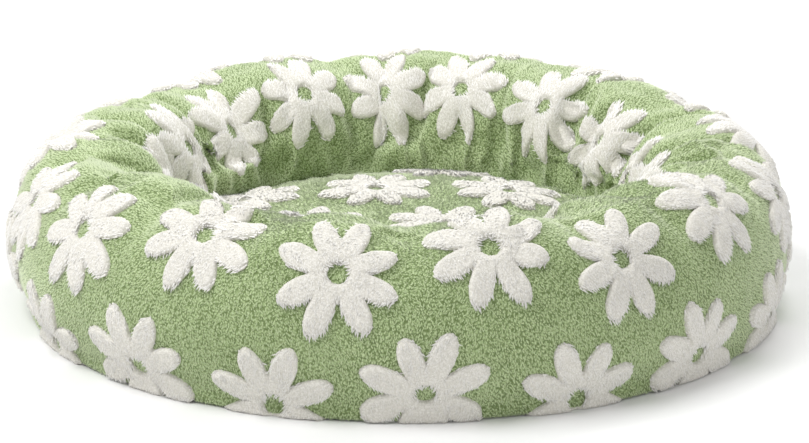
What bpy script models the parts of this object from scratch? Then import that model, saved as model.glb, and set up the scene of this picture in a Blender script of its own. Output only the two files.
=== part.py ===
"""Round bolster bed for a pet: a plush cover over a stuffed ring and a centre cushion.

Metres, +Z up. The origin is on the floor under the middle of the bed. The zip runs along the foot of
the back wall (+Y). An azimuth is counted in degrees from +X towards +Y.
"""
import math

import bmesh
import bpy
from mathutils import Matrix, Vector

# Driving dimensions
BED_RADIUS = 0.376
RING_HALF_WIDTH = 0.078
RING_HALF_HEIGHT = 0.0925
RING_SUNK = 0.0235          # how much of the round section the floor flattens away
RING_FULLNESS = 2.1         # 2 is an ellipse, more is squarer
COVER_THICK = 0.004
LINER_THICK = 0.0015
SLACK = 0.0015              # between one layer and the next
FIT_GAP = 0.0003            # between pieces that touch
STEPS_ROUND = 40
SECTION_POINTS = 14

SEAM_HEIGHT = 0.052         # the gathered seam between the ring and the centre panel
CUSHION_CROWN = 0.080
CUSHION_RIM = 0.056
CUSHION_CURVE = 2.4
CUSHION_SIDE_GAP = 0.0115   # from the seam in to the insert's own side

BASE_THICK = 0.003
FRONT_FOOT_HEIGHT = 0.006
BACK_FOOT_HEIGHT = 0.0305
BINDING_WIDTH = 0.0045
BINDING_TOP = 0.0054

ZIP_FOOT = (0.3560, 0.0062)  # radius and height of the zip band's lower edge
ZIP_HEAD = (0.3690, 0.0302)
ZIP_FROM, ZIP_TO = 8.0, 172.0
END_TAB_FROM = 0.3
TAPE_THICK = 0.0008
CHAIN_THICK = 0.0020
CHAIN_WIDTH = 0.0021
CHAIN_GAP = 0.0012
STOP_LENGTH_DEG = 0.9
STEPS_ZIP = 52

SLIDER_LENGTH = 0.012
SLIDER_WIDTH = 0.010
SLIDER_PLATE = 0.0012
SLIDER_ROOM = 0.0005        # from the chain to the slider's plates
SLIDER_AZIMUTH = 12.0
CROWN_RISE = 0.0035
CROWN_WIDTH = 0.0018
CROWN_REACH = 0.0044
PULL_LENGTH = 0.022
PULL_WIDTH = 0.008
PULL_THICK = 0.0012

RING_CENTRE = BED_RADIUS - RING_HALF_WIDTH
RING_MIDDLE_Z = RING_HALF_HEIGHT - RING_SUNK
SEAM_RADIUS = 0.2203

MATERIALS = {
    "green_plush": ((0.36, 0.50, 0.24), 0.95, 0.0),
    "grip_base": ((0.30, 0.33, 0.27), 0.85, 0.0),
    "green_tape": ((0.27, 0.40, 0.19), 0.80, 0.0),
    "white_liner": ((0.86, 0.86, 0.84), 0.90, 0.0),
    "white_fibre": ((0.93, 0.93, 0.92), 1.00, 0.0),
    "zip_nylon": ((0.31, 0.43, 0.22), 0.45, 0.0),
    "zip_metal": ((0.72, 0.72, 0.70), 0.35, 1.0),
    "white_label": ((0.90, 0.90, 0.88), 0.60, 0.0),
}


def clear_scene():
    for thing in list(bpy.data.objects):
        bpy.data.objects.remove(thing, do_unlink=True)


def make_materials():
    """One Principled material for each finish in the table."""
    made = {}
    for name, (colour, roughness, metallic) in MATERIALS.items():
        material = bpy.data.materials.new(name)
        material.use_nodes = True
        shader = material.node_tree.nodes["Principled BSDF"]
        shader.inputs["Base Color"].default_value = (*colour, 1.0)
        shader.inputs["Roughness"].default_value = roughness
        shader.inputs["Metallic"].default_value = metallic
        material.diffuse_color = (*colour, 1.0)
        made[name] = material
    return made


def finish_object(name, bm, material, sharp_deg=40.0):
    """Turns a bmesh into a named object with outward faces and smooth shading."""
    bmesh.ops.recalc_face_normals(bm, faces=bm.faces[:])
    mesh = bpy.data.meshes.new(name)
    bm.to_mesh(mesh)
    bm.free()
    mesh.materials.append(material)
    mesh.shade_smooth()
    mesh.set_sharp_from_angle(angle=math.radians(sharp_deg))
    made = bpy.data.objects.new(name, mesh)
    bpy.context.scene.collection.objects.link(made)
    return made


def on_azimuth(radius, height, azimuth_deg):
    angle = math.radians(azimuth_deg)
    return Vector((radius * math.cos(angle), radius * math.sin(angle), height))


def wire(bm, profile, azimuth_deg, closed):
    """The edges of a (radius, height) profile, standing at one azimuth."""
    points = [bm.verts.new(on_azimuth(r, z, azimuth_deg)) for r, z in profile]
    pairs = list(zip(points, points[1:]))
    if closed:
        pairs.append((points[-1], points[0]))
    return points, [bm.edges.new(pair) for pair in pairs]


def spin_round(bm, profile, closed=True, steps=STEPS_ROUND):
    """Turns a profile through a whole circle about Z."""
    points, edges = wire(bm, profile, 0.0, closed)
    bmesh.ops.spin(bm, geom=points + edges, cent=(0, 0, 0), axis=(0, 0, 1),
                   angle=2 * math.pi, steps=steps, use_merge=True)


def ring_solid(name, profile, material):
    """A whole ring of one closed section."""
    bm = bmesh.new()
    spin_round(bm, profile)
    return finish_object(name, bm, material)


def turned_solid(name, half_profile, material):
    """A round solid whose half profile starts and ends on the axis."""
    bm = bmesh.new()
    spin_round(bm, half_profile, closed=False)
    bmesh.ops.remove_doubles(bm, verts=bm.verts[:], dist=1e-5)
    return finish_object(name, bm, material)


def arc_solid(name, profile, from_deg, to_deg, steps, material):
    """A closed section swept about Z between two azimuths, with flat ends."""
    bm = bmesh.new()
    points, edges = wire(bm, profile, from_deg, True)
    face = bm.faces.new(points)
    bmesh.ops.spin(bm, geom=points + edges + [face], cent=(0, 0, 0), axis=(0, 0, 1),
                   angle=math.radians(to_deg - from_deg), steps=steps)
    return finish_object(name, bm, material)


def slotted_shell(name, outer, inner, closed, in_slot, material):
    """A hollow round shell that is open at one stuffing slot, whose walls join the two skins."""
    bm = bmesh.new()
    for profile in (outer, inner):
        spin_round(bm, profile, closed)
    bmesh.ops.remove_doubles(bm, verts=bm.verts[:], dist=1e-5)
    slot = [face for face in bm.faces if in_slot(face.calc_center_median())]
    bmesh.ops.delete(bm, geom=slot, context="FACES")
    rims = [edge for edge in bm.edges if edge.is_boundary]
    bmesh.ops.bridge_loops(bm, edges=rims)
    return finish_object(name, bm, material)


def section_point(turn_deg, inset=0.0, floor=0.0):
    """A point of the ring's round section: 0 is outermost, 90 the crest, 180 innermost."""
    turn = math.radians(turn_deg)
    across, up = math.cos(turn), math.sin(turn)
    power = 2.0 / RING_FULLNESS
    radius = RING_CENTRE + (RING_HALF_WIDTH - inset) * math.copysign(abs(across) ** power, across)
    height = RING_MIDDLE_Z + (RING_HALF_HEIGHT - inset) * math.copysign(abs(up) ** power, up)
    return radius, max(height, floor)


def turn_at_height(height, inner_side):
    """The angle round the section at which its outline is at a height below the middle."""
    drop = (RING_MIDDLE_Z - height) / RING_HALF_HEIGHT
    turn = math.degrees(math.asin(drop ** (RING_FULLNESS / 2.0)))
    return 180.0 + turn if inner_side else -turn


def cover_section(foot_height):
    """The cover's C-shaped section, from the foot of the outer wall over the crest to the seam."""
    start = turn_at_height(foot_height, inner_side=False)
    stop = turn_at_height(SEAM_HEIGHT, inner_side=True)
    step = (stop - start) / SECTION_POINTS
    turns = [start + step * i for i in range(SECTION_POINTS + 1)]
    skin = [section_point(turn) for turn in turns]
    lining = [section_point(turn, COVER_THICK) for turn in reversed(turns)]
    return skin + lining


def ring_section(inset):
    """A closed section inside the cover, flattened where it lies on the base."""
    floor = BASE_THICK + inset - COVER_THICK
    step = 360.0 / SECTION_POINTS
    return [section_point(step * i, inset, floor) for i in range(SECTION_POINTS)]


def crown_height(radius):
    """The top of the centre panel."""
    return CUSHION_RIM + (CUSHION_CROWN - CUSHION_RIM) * (1 - (radius / SEAM_RADIUS) ** CUSHION_CURVE)


def centre_panel_section():
    radii = [SEAM_RADIUS * share for share in (0.0, 0.35, 0.6, 0.8, 0.92, 1.0)]
    top = [(r, crown_height(r)) for r in radii]
    under = [(r, crown_height(r) - COVER_THICK) for r in reversed(radii)]
    return top + under


def cushion_section(inset):
    """The half section of the cushion insert, inset from the cover's centre panel and base."""
    side = SEAM_RADIUS - CUSHION_SIDE_GAP - (inset - COVER_THICK)
    low = BASE_THICK + inset - COVER_THICK
    top = [(side * share, crown_height(side * share) - inset) for share in (0.0, 0.4, 0.7, 0.9)]
    shoulder_z = crown_height(side) - inset
    edge = [(side, shoulder_z * 0.72), (side, low + shoulder_z * 0.30)]
    return top + edge + [(side * 0.92, low), (0.0, low)]


def zip_frame(azimuth_deg):
    """Axes of the zip band at an azimuth: X along the zip, Y up the wall, Z out of it."""
    rise = Vector((ZIP_HEAD[0] - ZIP_FOOT[0], ZIP_HEAD[1] - ZIP_FOOT[1])).normalized()
    angle = math.radians(azimuth_deg)
    outward = Vector((math.cos(angle), math.sin(angle), 0.0))
    along = Vector((-math.sin(angle), math.cos(angle), 0.0))
    up_wall = outward * rise[0] + Vector((0, 0, rise[1]))
    turned = Matrix((along, up_wall, along.cross(up_wall))).transposed().to_4x4()
    return Matrix.Translation(on_azimuth(*ZIP_FOOT, azimuth_deg)) @ turned


def zip_band(low, high, thick, proud=0.0):
    """A rectangle of the zip's section: low and high are distances up the wall from its foot."""
    rise = Vector((ZIP_HEAD[0] - ZIP_FOOT[0], ZIP_HEAD[1] - ZIP_FOOT[1])).normalized()
    out = Vector((rise[1], -rise[0]))
    corners = []
    for up, off in ((low, -1), (high, -1), (high, 1), (low, 1)):
        point = Vector(ZIP_FOOT) + rise * up + out * (proud + off * thick / 2)
        corners.append((point[0], point[1]))
    return corners


def extruded(name, outline, axis, from_value, to_value, material):
    """A flat outline pushed along one local axis; outline gives the other two coordinates in order."""
    others = [i for i in range(3) if i != axis]
    bm = bmesh.new()
    corners = []
    for pair in outline:
        place = [0.0, 0.0, 0.0]
        place[axis] = from_value
        place[others[0]], place[others[1]] = pair
        corners.append(bm.verts.new(place))
    face = bm.faces.new(corners)
    grown = bmesh.ops.extrude_face_region(bm, geom=[face])
    push = [0.0, 0.0, 0.0]
    push[axis] = to_value - from_value
    moved = [item for item in grown["geom"] if isinstance(item, bmesh.types.BMVert)]
    bmesh.ops.translate(bm, vec=push, verts=moved)
    return finish_object(name, bm, material)


def combine(target, tool, operation):
    """Unites or cuts with a helper object that stays hidden."""
    tool.hide_render = True
    tool.display_type = "WIRE"
    change = target.modifiers.new(operation.lower(), "BOOLEAN")
    change.operation = operation
    change.object = tool
    change.solver = "EXACT"


def rectangle(x_from, x_to, y_from, y_to):
    return [(x_from, y_from), (x_to, y_from), (x_to, y_to), (x_from, y_to)]


def make_cover(materials):
    plush = materials["green_plush"]
    half = STEPS_ROUND // 2
    nick = math.degrees(FIT_GAP / 2 / SEAM_RADIUS)
    arc_solid("bolster_panel_back", cover_section(BACK_FOOT_HEIGHT), nick, 180 - nick, half, plush)
    arc_solid("bolster_panel_front", cover_section(FRONT_FOOT_HEIGHT), 180 + nick, 360 - nick,
              half, plush)
    turned_solid("centre_panel", centre_panel_section(), plush)
    base_radius = section_point(turn_at_height(FRONT_FOOT_HEIGHT, False))[0] - COVER_THICK + 0.001
    turned_solid("base_panel", [(0.0, BASE_THICK), (base_radius, BASE_THICK),
                                (base_radius, 0.0), (0.0, 0.0)], materials["grip_base"])
    rim = base_radius + FIT_GAP
    binding = [(rim, FIT_GAP), (rim + BINDING_WIDTH - 0.001, FIT_GAP), (rim + BINDING_WIDTH, 0.0025),
               (rim + BINDING_WIDTH - 0.0005, BINDING_TOP), (rim, BINDING_TOP)]
    ring_solid("base_seam_binding", binding, materials["green_tape"])
    tape_top = SEAM_HEIGHT - 2 * FIT_GAP
    tape = [(SEAM_RADIUS, tape_top - 0.011), (SEAM_RADIUS + 0.0024, tape_top - 0.011),
            (SEAM_RADIUS + 0.0024, tape_top), (SEAM_RADIUS, tape_top)]
    ring_solid("gather_tape", tape, materials["green_tape"])


def make_stuffing(materials):
    skin = COVER_THICK + SLACK
    lining = skin + LINER_THICK
    fill = lining + SLACK

    def at_back(point):
        return 72.0 < math.degrees(math.atan2(point.y, point.x)) < 108.0

    def in_ring_slot(point):
        radius = math.hypot(point.x, point.y)
        return at_back(point) and radius < RING_CENTRE - 0.045 and 0.015 < point.z < 0.060

    def in_cushion_slot(point):
        radius = math.hypot(point.x, point.y)
        return at_back(point) and radius > 0.195 and 0.020 < point.z < 0.040

    slotted_shell("bolster_liner", ring_section(skin), ring_section(lining), True,
                  in_ring_slot, materials["white_liner"])
    ring_solid("bolster_fill", ring_section(fill), materials["white_fibre"])
    slotted_shell("cushion_liner", cushion_section(skin), cushion_section(lining), False,
                  in_cushion_slot, materials["white_liner"])
    turned_solid("cushion_fill", cushion_section(fill), materials["white_fibre"])


def make_zip(materials):
    """Tapes, chains, stops and end tabs along the foot of the back wall."""
    width = math.dist(ZIP_FOOT, ZIP_HEAD) - 2 * FIT_GAP
    middle = width / 2
    chain_in, chain_out = CHAIN_GAP / 2, CHAIN_GAP / 2 + CHAIN_WIDTH
    tape_in = chain_out + FIT_GAP
    stop_to = ZIP_FROM + 0.2 + STOP_LENGTH_DEG
    chain_from, chain_to = stop_to + 0.1, 180.0 - stop_to - 0.1
    for side, sign in (("lower", -1), ("upper", 1)):
        edge = FIT_GAP if sign < 0 else width
        tape = sorted((edge, middle + sign * tape_in))
        chain = sorted((middle + sign * chain_in, middle + sign * chain_out))
        arc_solid("zip_tape_" + side, zip_band(*tape, TAPE_THICK), ZIP_FROM, ZIP_TO,
                  STEPS_ZIP, materials["green_tape"])
        arc_solid("zip_chain_" + side, zip_band(*chain, CHAIN_THICK), chain_from, chain_to,
                  STEPS_ZIP, materials["zip_nylon"])
        arc_solid("zip_stop_" + side, zip_band(*chain, CHAIN_THICK + 0.0006), ZIP_FROM + 0.2,
                  stop_to, 1, materials["zip_metal"])
    box = zip_band(middle - chain_out, middle + chain_out, CHAIN_THICK + 0.0006)
    arc_solid("zip_box_stop", box, 180.0 - stop_to, ZIP_TO - 0.2, 1, materials["zip_metal"])
    for side, first in (("right", END_TAB_FROM), ("left", ZIP_TO + 0.1)):
        last = first + ZIP_FROM - END_TAB_FROM - 0.1
        arc_solid("zip_end_tab_" + side, zip_band(FIT_GAP, width, 0.0012), first, last,
                  3, materials["green_plush"])
    label = zip_band(0.004, 0.025, 0.0006, proud=0.0013)
    arc_solid("care_label", label, 1.6, 5.4, 2, materials["white_label"])
    return middle


def make_slider(materials, middle):
    """The slider straddles both chains; its pull hangs from a crown on the outside."""
    metal = materials["zip_metal"]
    place = zip_frame(SLIDER_AZIMUTH)
    inner = CHAIN_THICK / 2 + SLIDER_ROOM
    outer = inner + SLIDER_PLATE
    lip = TAPE_THICK / 2 + SLIDER_ROOM
    post = CHAIN_GAP / 2 - FIT_GAP
    half = SLIDER_WIDTH / 2
    lip_in = half - 0.0016
    right = [(post, inner), (lip_in, inner), (lip_in, lip), (half, lip), (half, outer)]
    quarter_down = [(y, -z) for y, z in reversed(right)]
    left = [(-y, z) for y, z in reversed(quarter_down + right)]
    outline = [(middle + y, z) for y, z in quarter_down + right + left]
    reach = SLIDER_LENGTH / 2
    body = extruded("zip_slider", outline, 0, -reach, reach, metal)

    top = outer + CROWN_RISE
    under = top - SLIDER_PLATE
    sunk = outer - SLIDER_PLATE / 2
    leg = CROWN_REACH - 0.0014
    arch = [(-CROWN_REACH, sunk), (-leg, sunk), (-leg, under), (leg, under), (leg, sunk),
            (CROWN_REACH, sunk), (CROWN_REACH, top - 0.0008), (CROWN_REACH - 0.0012, top),
            (0.0012 - CROWN_REACH, top), (-CROWN_REACH, top - 0.0008)]
    crown = extruded("zip_crown_tool", arch, 1, middle - CROWN_WIDTH / 2,
                     middle + CROWN_WIDTH / 2, metal)
    combine(body, crown, "UNION")

    pin_z = (outer + under) / 2
    tip = -PULL_LENGTH
    neck = -(CROWN_REACH + 0.003)
    side, slim, cut = PULL_WIDTH / 2, PULL_WIDTH / 2 - 0.0008, 0.0015
    shape = [(PULL_THICK / 2, -slim), (PULL_THICK / 2, slim), (neck, slim), (neck - cut, side),
             (tip + cut, side), (tip, side - cut), (tip, cut - side), (tip + cut, -side),
             (neck - cut, -side), (neck, -slim)]
    shape = [(x, middle + y) for x, y in shape]
    pull = extruded("zip_pull", shape, 2, pin_z - PULL_THICK / 2, pin_z + PULL_THICK / 2, metal)
    eye = rectangle(-CROWN_REACH - 0.0012, -PULL_THICK / 2, middle - 0.0017, middle + 0.0017)
    hole = extruded("zip_eye_tool", eye, 2, pin_z - 0.003, pin_z + 0.003, metal)
    combine(pull, hole, "DIFFERENCE")

    pin = Vector((0.0, middle, pin_z))
    for thing in (pull, hole):
        thing.data.transform(Matrix.Translation(-pin))
        thing.matrix_world = place @ Matrix.Translation(pin)
    hinge = bpy.data.objects.new("zip_travel_axis", None)
    bpy.context.scene.collection.objects.link(hinge)
    for thing in (body, crown):
        thing.data.transform(place)
        thing.parent = hinge


def main():
    clear_scene()
    materials = make_materials()
    make_cover(materials)
    make_stuffing(materials)
    middle = make_zip(materials)
    make_slider(materials, middle)


main()
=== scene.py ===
# %% [markdown]
# # A round plush pet bed
# The bed is a stuffed ring sewn round a stuffed cushion. The cover is a short green pile with off-white
# flowers tufted into it, and it is gathered where it meets the cushion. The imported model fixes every
# size and joint, so this lesson only makes what the eye sees and hangs each piece on the right body.

# %% Open the fixed frame
import math

import bpy
import numpy as np
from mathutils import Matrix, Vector


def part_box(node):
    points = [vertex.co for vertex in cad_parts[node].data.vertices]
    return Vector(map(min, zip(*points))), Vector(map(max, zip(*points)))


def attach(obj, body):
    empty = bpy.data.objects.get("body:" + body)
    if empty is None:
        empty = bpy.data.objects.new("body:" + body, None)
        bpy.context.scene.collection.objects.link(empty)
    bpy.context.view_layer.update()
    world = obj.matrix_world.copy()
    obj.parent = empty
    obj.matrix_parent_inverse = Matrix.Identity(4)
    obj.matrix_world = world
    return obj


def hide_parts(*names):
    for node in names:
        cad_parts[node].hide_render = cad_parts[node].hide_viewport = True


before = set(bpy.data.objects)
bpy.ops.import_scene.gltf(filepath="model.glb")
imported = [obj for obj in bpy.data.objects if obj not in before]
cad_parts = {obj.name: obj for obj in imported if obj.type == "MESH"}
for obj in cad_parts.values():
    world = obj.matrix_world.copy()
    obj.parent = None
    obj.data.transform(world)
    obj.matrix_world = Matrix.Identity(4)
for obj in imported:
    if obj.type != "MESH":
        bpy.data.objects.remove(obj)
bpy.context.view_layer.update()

# %% [markdown]
# Sizes are read off the frame and not typed again, so the soft pieces follow the design. Only what the
# frame can't say, such as how far the ring's round section sinks into the floor, is a number here.

# %% Sizes from the frame
_, front_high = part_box("bolster_panel_front")
back_low, back_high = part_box("bolster_panel_back")
panel_low, panel_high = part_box("centre_panel")
_, base_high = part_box("base_panel")

BED_RADIUS = back_high.x
SEAM_RADIUS = panel_high.x
SEAM_HEIGHT = panel_low.z
RING_TOP = front_high.z
ZIP_TOP = back_low.z
BASE_RADIUS = base_high.x
BASE_TOP = base_high.z
CROWN_TOP = panel_high.z
RING_SUNK = 0.0235
RING_FULLNESS = 2.1

RING_HALF_WIDTH = (BED_RADIUS - SEAM_RADIUS) / 2
RING_CENTRE = BED_RADIUS - RING_HALF_WIDTH
RING_HALF_HEIGHT = (RING_TOP + RING_SUNK) / 2
RING_MIDDLE = RING_TOP - RING_HALF_HEIGHT
print(f"bed {2 * BED_RADIUS:.3f} m across, ring {RING_TOP:.3f} m tall, seam at {SEAM_RADIUS:.3f} m")

# %% [markdown]
# ## Camera, light and floor
# The camera comes first, so that each new piece can be looked at from where the bed is shown. A long
# lens at a little height keeps the ring's far side almost as large as its near side.

# %% Camera
CAMERA_DISTANCE = 2.75
CAMERA_RISE_DEG = 16.1
CAMERA_LENS_MM = 126.5
CAMERA_PIVOT = Vector((0.0, 0.0, 0.10))
CAMERA_AIM = Vector((0.001, 0.0, 0.072))

rise = math.radians(CAMERA_RISE_DEG)
camera_data = bpy.data.cameras.new("studio_camera")
camera_data.lens = CAMERA_LENS_MM
camera = bpy.data.objects.new("studio_camera", camera_data)
camera.location = CAMERA_PIVOT + CAMERA_DISTANCE * Vector((0, -math.cos(rise), math.sin(rise)))
camera.rotation_euler = (camera.location - CAMERA_AIM).to_track_quat("Z", "Y").to_euler()
bpy.context.scene.collection.objects.link(camera)
bpy.context.scene.camera = camera
print("camera at", [round(value, 3) for value in camera.location])

# %% [markdown]
# A studio shot of a pale soft thing wants big soft lamps: one high on the left, one high behind on the
# right, a weak one low in front, and a bright surround that fills every shadow. The backdrop is seen
# white but lights less than that, or nothing would have a shaded side. The Standard view keeps the
# floor white.

# %% Lights and surround
def soft_lamp(name, place, size, watts):
    """A square area lamp that looks at the middle of the bed."""
    lamp = bpy.data.lights.new(name, "AREA")
    lamp.size = size
    lamp.energy = watts
    holder = bpy.data.objects.new(name, lamp)
    holder.location = place
    holder.rotation_euler = Vector(place).to_track_quat("Z", "Y").to_euler()
    bpy.context.scene.collection.objects.link(holder)
    return holder


soft_lamp("key_lamp", (-1.4, -0.6, 2.3), 1.5, 53.0)
soft_lamp("back_lamp", (0.8, 1.5, 2.3), 1.4, 42.0)
soft_lamp("fill_lamp", (1.9, -2.4, 1.1), 2.0, 8.0)

SURROUND_LIGHT = 0.58
surround = bpy.data.worlds.new("studio_surround")
surround.use_nodes = True
sky_tree = surround.node_tree
sky_light = sky_tree.nodes["Background"]
sky_light.inputs["Color"].default_value = (1.0, 1.0, 1.0, 1.0)
sky_light.inputs["Strength"].default_value = SURROUND_LIGHT
sky_seen = sky_tree.nodes.new("ShaderNodeBackground")
sky_seen.inputs["Color"].default_value = (1.0, 1.0, 1.0, 1.0)
sky_seen.inputs["Strength"].default_value = 1.0
looked_at = sky_tree.nodes.new("ShaderNodeLightPath")
sky_choice = sky_tree.nodes.new("ShaderNodeMixShader")
sky_tree.links.new(looked_at.outputs["Is Camera Ray"], sky_choice.inputs[0])
sky_tree.links.new(sky_light.outputs["Background"], sky_choice.inputs[1])
sky_tree.links.new(sky_seen.outputs["Background"], sky_choice.inputs[2])
sky_tree.links.new(sky_choice.outputs["Shader"], sky_tree.nodes["World Output"].inputs["Surface"])
bpy.context.scene.world = surround
bpy.context.scene.view_settings.view_transform = "Standard"

# %% [markdown]
# The floor is a wide disc, level from every side. The lamps stand near the bed, so it would turn grey
# towards its far edge. A faint glow that starts well away from the bed keeps it white to the horizon.

# %% Floor
FLOOR_RADIUS, FLOOR_SIDES = 8.0, 96
GLOW_FROM, GLOW_FULL, GLOW = 1.0, 2.6, 0.50
floor_mesh = bpy.data.meshes.new("studio_floor")
floor_turns = np.linspace(0, 2 * np.pi, FLOOR_SIDES, endpoint=False)
floor_rim = [(FLOOR_RADIUS * math.cos(turn), FLOOR_RADIUS * math.sin(turn), 0) for turn in floor_turns]
floor_mesh.from_pydata(floor_rim, [], [list(range(FLOOR_SIDES))])
floor = bpy.data.objects.new("studio_floor", floor_mesh)
bpy.context.scene.collection.objects.link(floor)
floor_paint = bpy.data.materials.new("floor_paint")
floor_paint.use_nodes = True
floor_shader = floor_paint.node_tree.nodes["Principled BSDF"]
floor_shader.inputs["Base Color"].default_value = (0.88, 0.88, 0.88, 1.0)
floor_shader.inputs["Roughness"].default_value = 0.9
floor_shader.inputs["Emission Color"].default_value = (1.0, 1.0, 1.0, 1.0)
floor_place = floor_paint.node_tree.nodes.new("ShaderNodeTexCoord")
away = floor_paint.node_tree.nodes.new("ShaderNodeVectorMath")
away.operation = "LENGTH"
glow = floor_paint.node_tree.nodes.new("ShaderNodeMapRange")
glow.interpolation_type = "SMOOTHSTEP"
glow.inputs["From Min"].default_value = GLOW_FROM
glow.inputs["From Max"].default_value = GLOW_FULL
glow.inputs["To Max"].default_value = GLOW
floor_paint.node_tree.links.new(floor_place.outputs["Object"], away.inputs[0])
floor_paint.node_tree.links.new(away.outputs["Value"], glow.inputs["Value"])
floor_paint.node_tree.links.new(glow.outputs["Result"], floor_shader.inputs["Emission Strength"])
floor_mesh.materials.append(floor_paint)
print("floor", 2 * FLOOR_RADIUS, "m wide")

# %% [markdown]
# ## Finishes
# Three effects come back in several finishes: a looped pile, the tone of a lock of pile, and a plain
# weave. Each is a node group with its own inputs, so one change to the pile mends every piece that has
# it. A group gives out only a colour and a height, and the shader that uses them stays in the material.

# %% A small helper for node trees
def wire_up(tree, source, target):
    tree.links.new(source, target)


def math_node(tree, operation, first, second=None):
    """A Math node fed by sockets or plain numbers."""
    node = tree.nodes.new("ShaderNodeMath")
    node.operation = operation
    for slot, value in zip(node.inputs, (first, second)):
        if value is None:
            continue
        if isinstance(value, bpy.types.NodeSocket):
            wire_up(tree, value, slot)
        else:
            slot.default_value = value
    return node.outputs["Value"]


def mix_colours(tree, share, first, second):
    node = tree.nodes.new("ShaderNodeMix")
    node.data_type = "RGBA"
    wire_up(tree, share, node.inputs["Factor"])
    for name, value in (("A", first), ("B", second)):
        socket = next(s for s in node.inputs if s.name == name and s.type == "RGBA")
        if isinstance(value, bpy.types.NodeSocket):
            wire_up(tree, value, socket)
        else:
            socket.default_value = value
    return next(s for s in node.outputs if s.type == "RGBA")


def new_group(name, numbers, colours, outputs):
    """A node group with named inputs and outputs. Returns the tree, its input node and output node."""
    tree = bpy.data.node_groups.new(name, "ShaderNodeTree")
    for label, value in numbers.items():
        socket = tree.interface.new_socket(label, in_out="INPUT", socket_type="NodeSocketFloat")
        socket.default_value = value
    for label in colours:
        tree.interface.new_socket(label, in_out="INPUT", socket_type="NodeSocketColor")
    for label, kind in outputs.items():
        tree.interface.new_socket(label, in_out="OUTPUT", socket_type=kind)
    return tree, tree.nodes.new("NodeGroupInput"), tree.nodes.new("NodeGroupOutput")


print("helpers ready")

# %% [markdown]
# The pile is thousands of loops 2 to 3 mm apart. Light catches the tip of each, and the ground between
# them lies in shade, so one Voronoi pattern drives the height and also a colour with painted light on
# the tips and painted shade on the ground. A wider noise makes the patches in which the pile lies a
# little one way or the other.

# %% Node group: looped pile
pile_group, group_in, group_out = new_group(
    "looped_pile",
    {"Loop Size": 0.003, "Patch Strength": 0.25},
    ["Tip", "Ground"],
    {"Colour": "NodeSocketColor", "Height": "NodeSocketFloat"})
place = pile_group.nodes.new("ShaderNodeTexCoord").outputs["Object"]
loops_per_metre = math_node(pile_group, "DIVIDE", 1.0, group_in.outputs["Loop Size"])
wobble = pile_group.nodes.new("ShaderNodeTexNoise")
wobble.inputs["Scale"].default_value = 160.0
wobble.inputs["Detail"].default_value = 2.0
wire_up(pile_group, place, wobble.inputs["Vector"])
bend = pile_group.nodes.new("ShaderNodeVectorMath")
bend.operation = "MULTIPLY_ADD"
bend.inputs[1].default_value = (0.004, 0.004, 0.004)
wire_up(pile_group, wobble.outputs["Color"], bend.inputs[0])
wire_up(pile_group, place, bend.inputs[2])
loops = pile_group.nodes.new("ShaderNodeTexVoronoi")
wire_up(pile_group, bend.outputs["Vector"], loops.inputs["Vector"])
wire_up(pile_group, loops_per_metre, loops.inputs["Scale"])
tips = math_node(pile_group, "SUBTRACT", 1.0, loops.outputs["Distance"])
strands = pile_group.nodes.new("ShaderNodeTexNoise")
strands.inputs["Scale"].default_value = 900.0
strands.inputs["Detail"].default_value = 1.0
wire_up(pile_group, place, strands.inputs["Vector"])
frizz = math_node(pile_group, "MULTIPLY", strands.outputs["Fac"], 0.45)
height = math_node(pile_group, "ADD", tips, frizz)
patches = pile_group.nodes.new("ShaderNodeTexNoise")
patches.inputs["Scale"].default_value = 22.0
patches.inputs["Detail"].default_value = 3.0
wire_up(pile_group, place, patches.inputs["Vector"])
patch_centred = math_node(pile_group, "SUBTRACT", patches.outputs["Fac"], 0.5)
patch_tone = math_node(pile_group, "MULTIPLY", patch_centred, group_in.outputs["Patch Strength"])
lit = pile_group.nodes.new("ShaderNodeMapRange")
lit.interpolation_type = "SMOOTHSTEP"
lit.inputs["From Min"].default_value = 0.45
lit.inputs["From Max"].default_value = 1.15
wire_up(pile_group, height, lit.inputs["Value"])
share = math_node(pile_group, "ADD", lit.outputs["Result"], patch_tone)
# painted light on the loops' tips, painted shade on the ground between them
pile_colour = mix_colours(pile_group, share, group_in.outputs["Ground"], group_in.outputs["Tip"])
wire_up(pile_group, pile_colour, group_out.inputs["Colour"])
wire_up(pile_group, height, group_out.inputs["Height"])
print("looped pile group:", len(pile_group.nodes), "nodes")

# %% [markdown]
# Over the ground lie separate locks of pile. Each lock carries a number called tip, 0 where it is rooted
# and 1 at its end. Little light gets down to the roots, so the colour runs from painted shade at the root
# to a lighter tip, and a wide noise makes the patches that a hand leaves in any plush.

# %% Node group: a lock's tone
lock_group, group_in, group_out = new_group(
    "lock_tone",
    {"Patch Strength": 0.4},
    ["Tip", "Root"],
    {"Colour": "NodeSocketColor", "Height": "NodeSocketFloat"})
place = lock_group.nodes.new("ShaderNodeTexCoord").outputs["Object"]
along_lock = lock_group.nodes.new("ShaderNodeAttribute")
along_lock.attribute_name = "tip"
climb = lock_group.nodes.new("ShaderNodeMapRange")
climb.interpolation_type = "SMOOTHSTEP"
climb.inputs["From Max"].default_value = 0.8
wire_up(lock_group, along_lock.outputs["Fac"], climb.inputs["Value"])
patches = lock_group.nodes.new("ShaderNodeTexNoise")
patches.inputs["Scale"].default_value = 26.0
patches.inputs["Detail"].default_value = 4.0
wire_up(lock_group, place, patches.inputs["Vector"])
patch_centred = math_node(lock_group, "SUBTRACT", patches.outputs["Fac"], 0.5)
patch_tone = math_node(lock_group, "MULTIPLY", patch_centred, group_in.outputs["Patch Strength"])
each = lock_group.nodes.new("ShaderNodeTexNoise")
each.inputs["Scale"].default_value = 260.0
each.inputs["Detail"].default_value = 1.0
wire_up(lock_group, place, each.inputs["Vector"])
each_centred = math_node(lock_group, "SUBTRACT", each.outputs["Fac"], 0.5)
each_tone = math_node(lock_group, "MULTIPLY", each_centred, group_in.outputs["Patch Strength"])
share = math_node(lock_group, "ADD", climb.outputs["Result"], patch_tone)
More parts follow.
